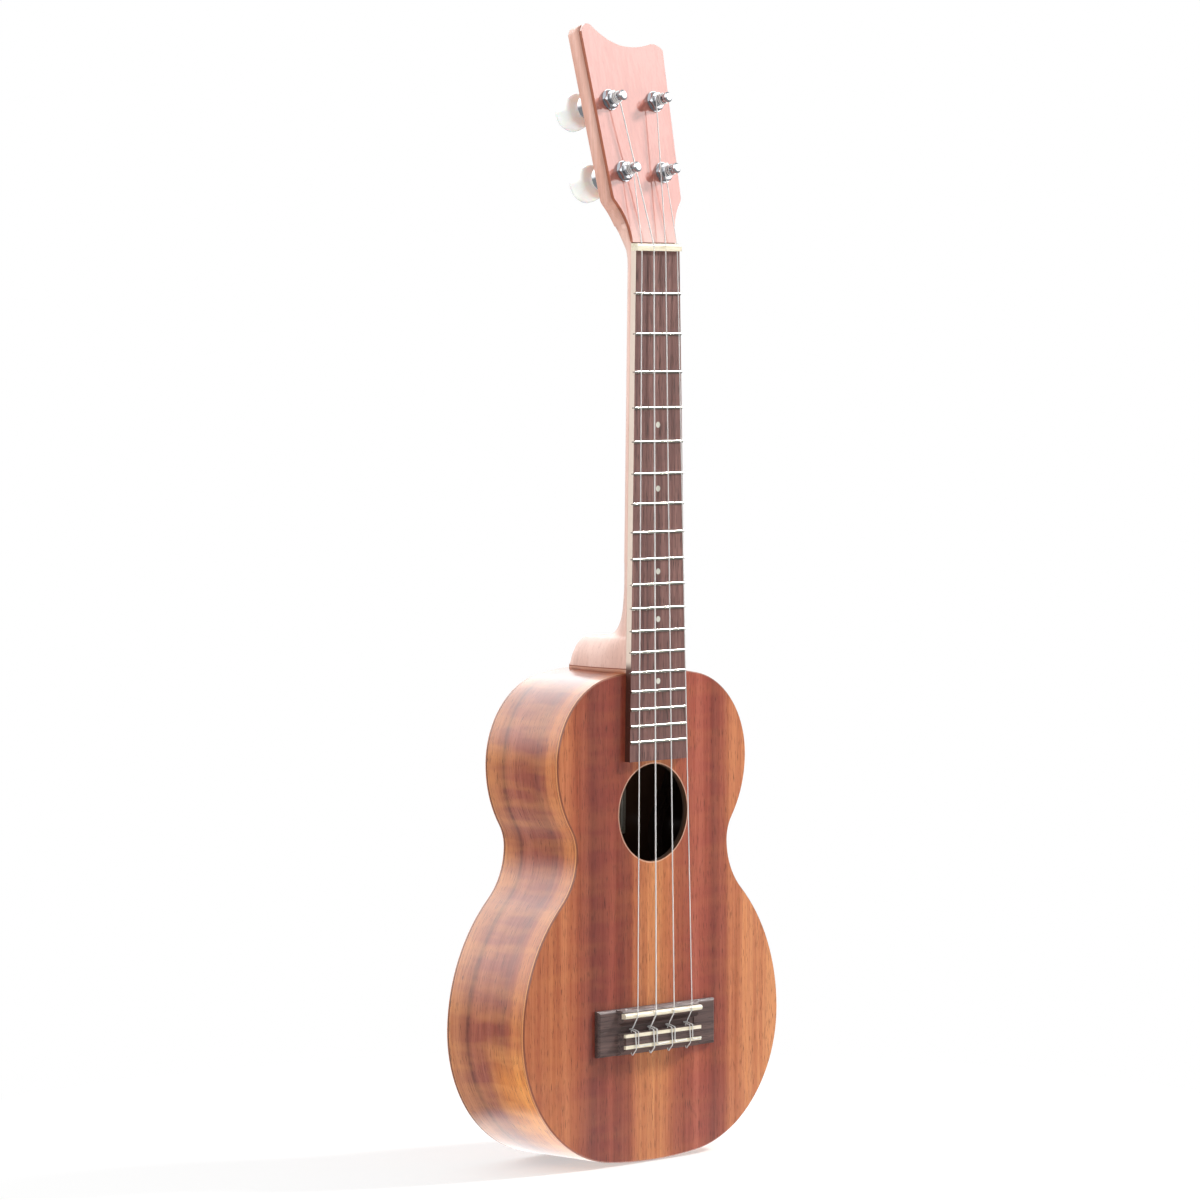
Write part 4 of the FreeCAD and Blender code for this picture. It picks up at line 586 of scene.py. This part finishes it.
def pearl(name, tones, size, **gloss):
    """Pearl with clouds of about 1/size metres, bent by a second noise."""
    material, tree = new_material(name)
    place = add(tree, "TexCoord").outputs["Object"]
    clouds = stretched(tree, place, (size, size, size), detail=4.0)
    bent = add(tree, "VectorMath", place, clouds, place, operation="MULTIPLY_ADD")
    sheen = stretched(tree, bent, (size * 1.6, size * 0.5, size * 1.2), detail=3.0)
    paint = add(tree, "ValToRGB", sheen, stops=tones)
    polished = add(
        tree, "BsdfPrincipled", Base_Color=paint, Coat_Weight=0.8, Coat_Roughness=0.05, **gloss
    )
    add(tree, "OutputMaterial", polished)
    return material


dot_tones = [(0.3, "#BEBBAE"), (0.45, "#D6D3C4"), (0.55, "#CACBC0"), (0.7, "#DCD8C8")]
dress(pearl("pearl_dots", dot_tones, 380.0, Roughness=0.3), "position_dots")

# Tuner hardware
# Housings, posts, shafts, hex nuts and washers of turned brass, chromed and polished: a hard
# mirror with a slight haze.

chrome, tree = new_material("chrome")
place = add(tree, "TexCoord").outputs["Object"]
haze = stretched(tree, place, (300.0, 300.0, 300.0), detail=3.0)
gloss = add(tree, "MapRange", haze, 0.3, 0.7, 0.06, 0.14)
plating = add(
    tree, "BsdfPrincipled", Base_Color=colour("#BEC0C4"), Roughness=gloss, Metallic=1.0
)
add(tree, "OutputMaterial", plating)
hardware = ["tuner_washers", "tuner_hex_nuts"]
hardware += [name for name in nodes if name.startswith(("housing_", "post_", "shaft_"))]
dress(chrome, *hardware)

# Tuner buttons
# Grips moulded in pearl-white plastic, pressed on the shafts and held by a chromed screw. Each has a tapered
# ferrule, a lobed, slightly oval body, a domed end and a sunk seat for the screw. Rings are
# (radius, distance behind the shaft's collar) in millimetres.

BUTTON_RINGS = [
    (3.9, 0.0), (4.1, 2.2), (5.2, 3.0), (8.3, 3.5), (9.5, 4.2), (10.1, 6.0), (10.4, 9.0),
    (10.2, 12.0), (9.6, 14.0), (8.4, 15.4), (6.4, 16.2), (3.6, 16.4), (3.3, 15.6),
]
SCREW_RINGS = [(3.1, 15.5), (3.1, 16.0), (2.7, 16.5), (1.6, 16.8), (0.6, 16.85)]
RING_STEPS = 56
SHAFT_END_TO_COLLAR = 0.008

button_tones = [(0.3, "#E2DFD9"), (0.45, "#F2F0EB"), (0.55, "#E9EBEA"), (0.7, "#F7F4EE")]
button_pearl = pearl(
    "pearl_buttons", button_tones, 120.0, Roughness=0.25, Subsurface_Weight=0.3
)


def turned_piece(name, rings, oval, material):
    """A closed piece of rings about -Z; oval stretches it along X and gives it eight lobes."""
    corners = []
    for radius, back in rings:
        for step in range(RING_STEPS):
            angle = 2 * math.pi * step / RING_STEPS
            swell = 1 + oval * math.cos(2 * angle) + 0.5 * oval * math.cos(8 * angle)
            reach = 0.001 * radius * swell
            corners.append((reach * math.cos(angle), reach * math.sin(angle), -0.001 * back))
    last = (len(rings) - 1) * RING_STEPS
    faces = [tuple(range(RING_STEPS)), tuple(last + step for step in reversed(range(RING_STEPS)))]
    for ring in range(0, last, RING_STEPS):
        for step in range(RING_STEPS):
            here, beside = ring + step, ring + (step + 1) % RING_STEPS
            faces.append((here, here + RING_STEPS, beside + RING_STEPS, beside))
    mesh = bpy.data.meshes.new(name)
    mesh.from_pydata(corners, [], faces)
    mesh.polygons.foreach_set("use_smooth", [True] * len(faces))
    mesh.materials.append(material)
    piece = bpy.data.objects.new(name, mesh)
    bpy.context.scene.collection.objects.link(piece)
    return piece


axis = Vector(head_normal)
for letter in "gcea":
    corners = [corner.co for corner in nodes["shaft_" + letter].data.vertices]
    middle = sum(corners, Vector()) / len(corners)
    shaft_end = min(corner.dot(axis) for corner in corners)
    stand = axis.to_track_quat("Z", "X").to_matrix().to_4x4()
    stand.translation = middle + axis * (shaft_end + SHAFT_END_TO_COLLAR - middle.dot(axis))
    grip = turned_piece("button_grip_" + letter, BUTTON_RINGS, 0.03, button_pearl)
    screw = turned_piece("button_screw_" + letter, SCREW_RINGS, 0.0, chrome)
    for piece in (grip, screw):
        piece.data.transform(stand)
        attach(piece, "peg_button_" + letter)
    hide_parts("button_" + letter)

# Strings
# Extruded clear nylon: smooth, bright and a little see-through, tied at the bridge and wound on
# the posts.

clear_nylon, tree = new_material("clear_nylon")
nylon = add(
    tree, "BsdfPrincipled", Base_Color=colour("#F1F0EE"), Roughness=0.22,
    Transmission_Weight=0.25, IOR=1.5,
)
add(tree, "OutputMaterial", nylon)
dress(clear_nylon, "string_g", "string_c", "string_e", "string_a")
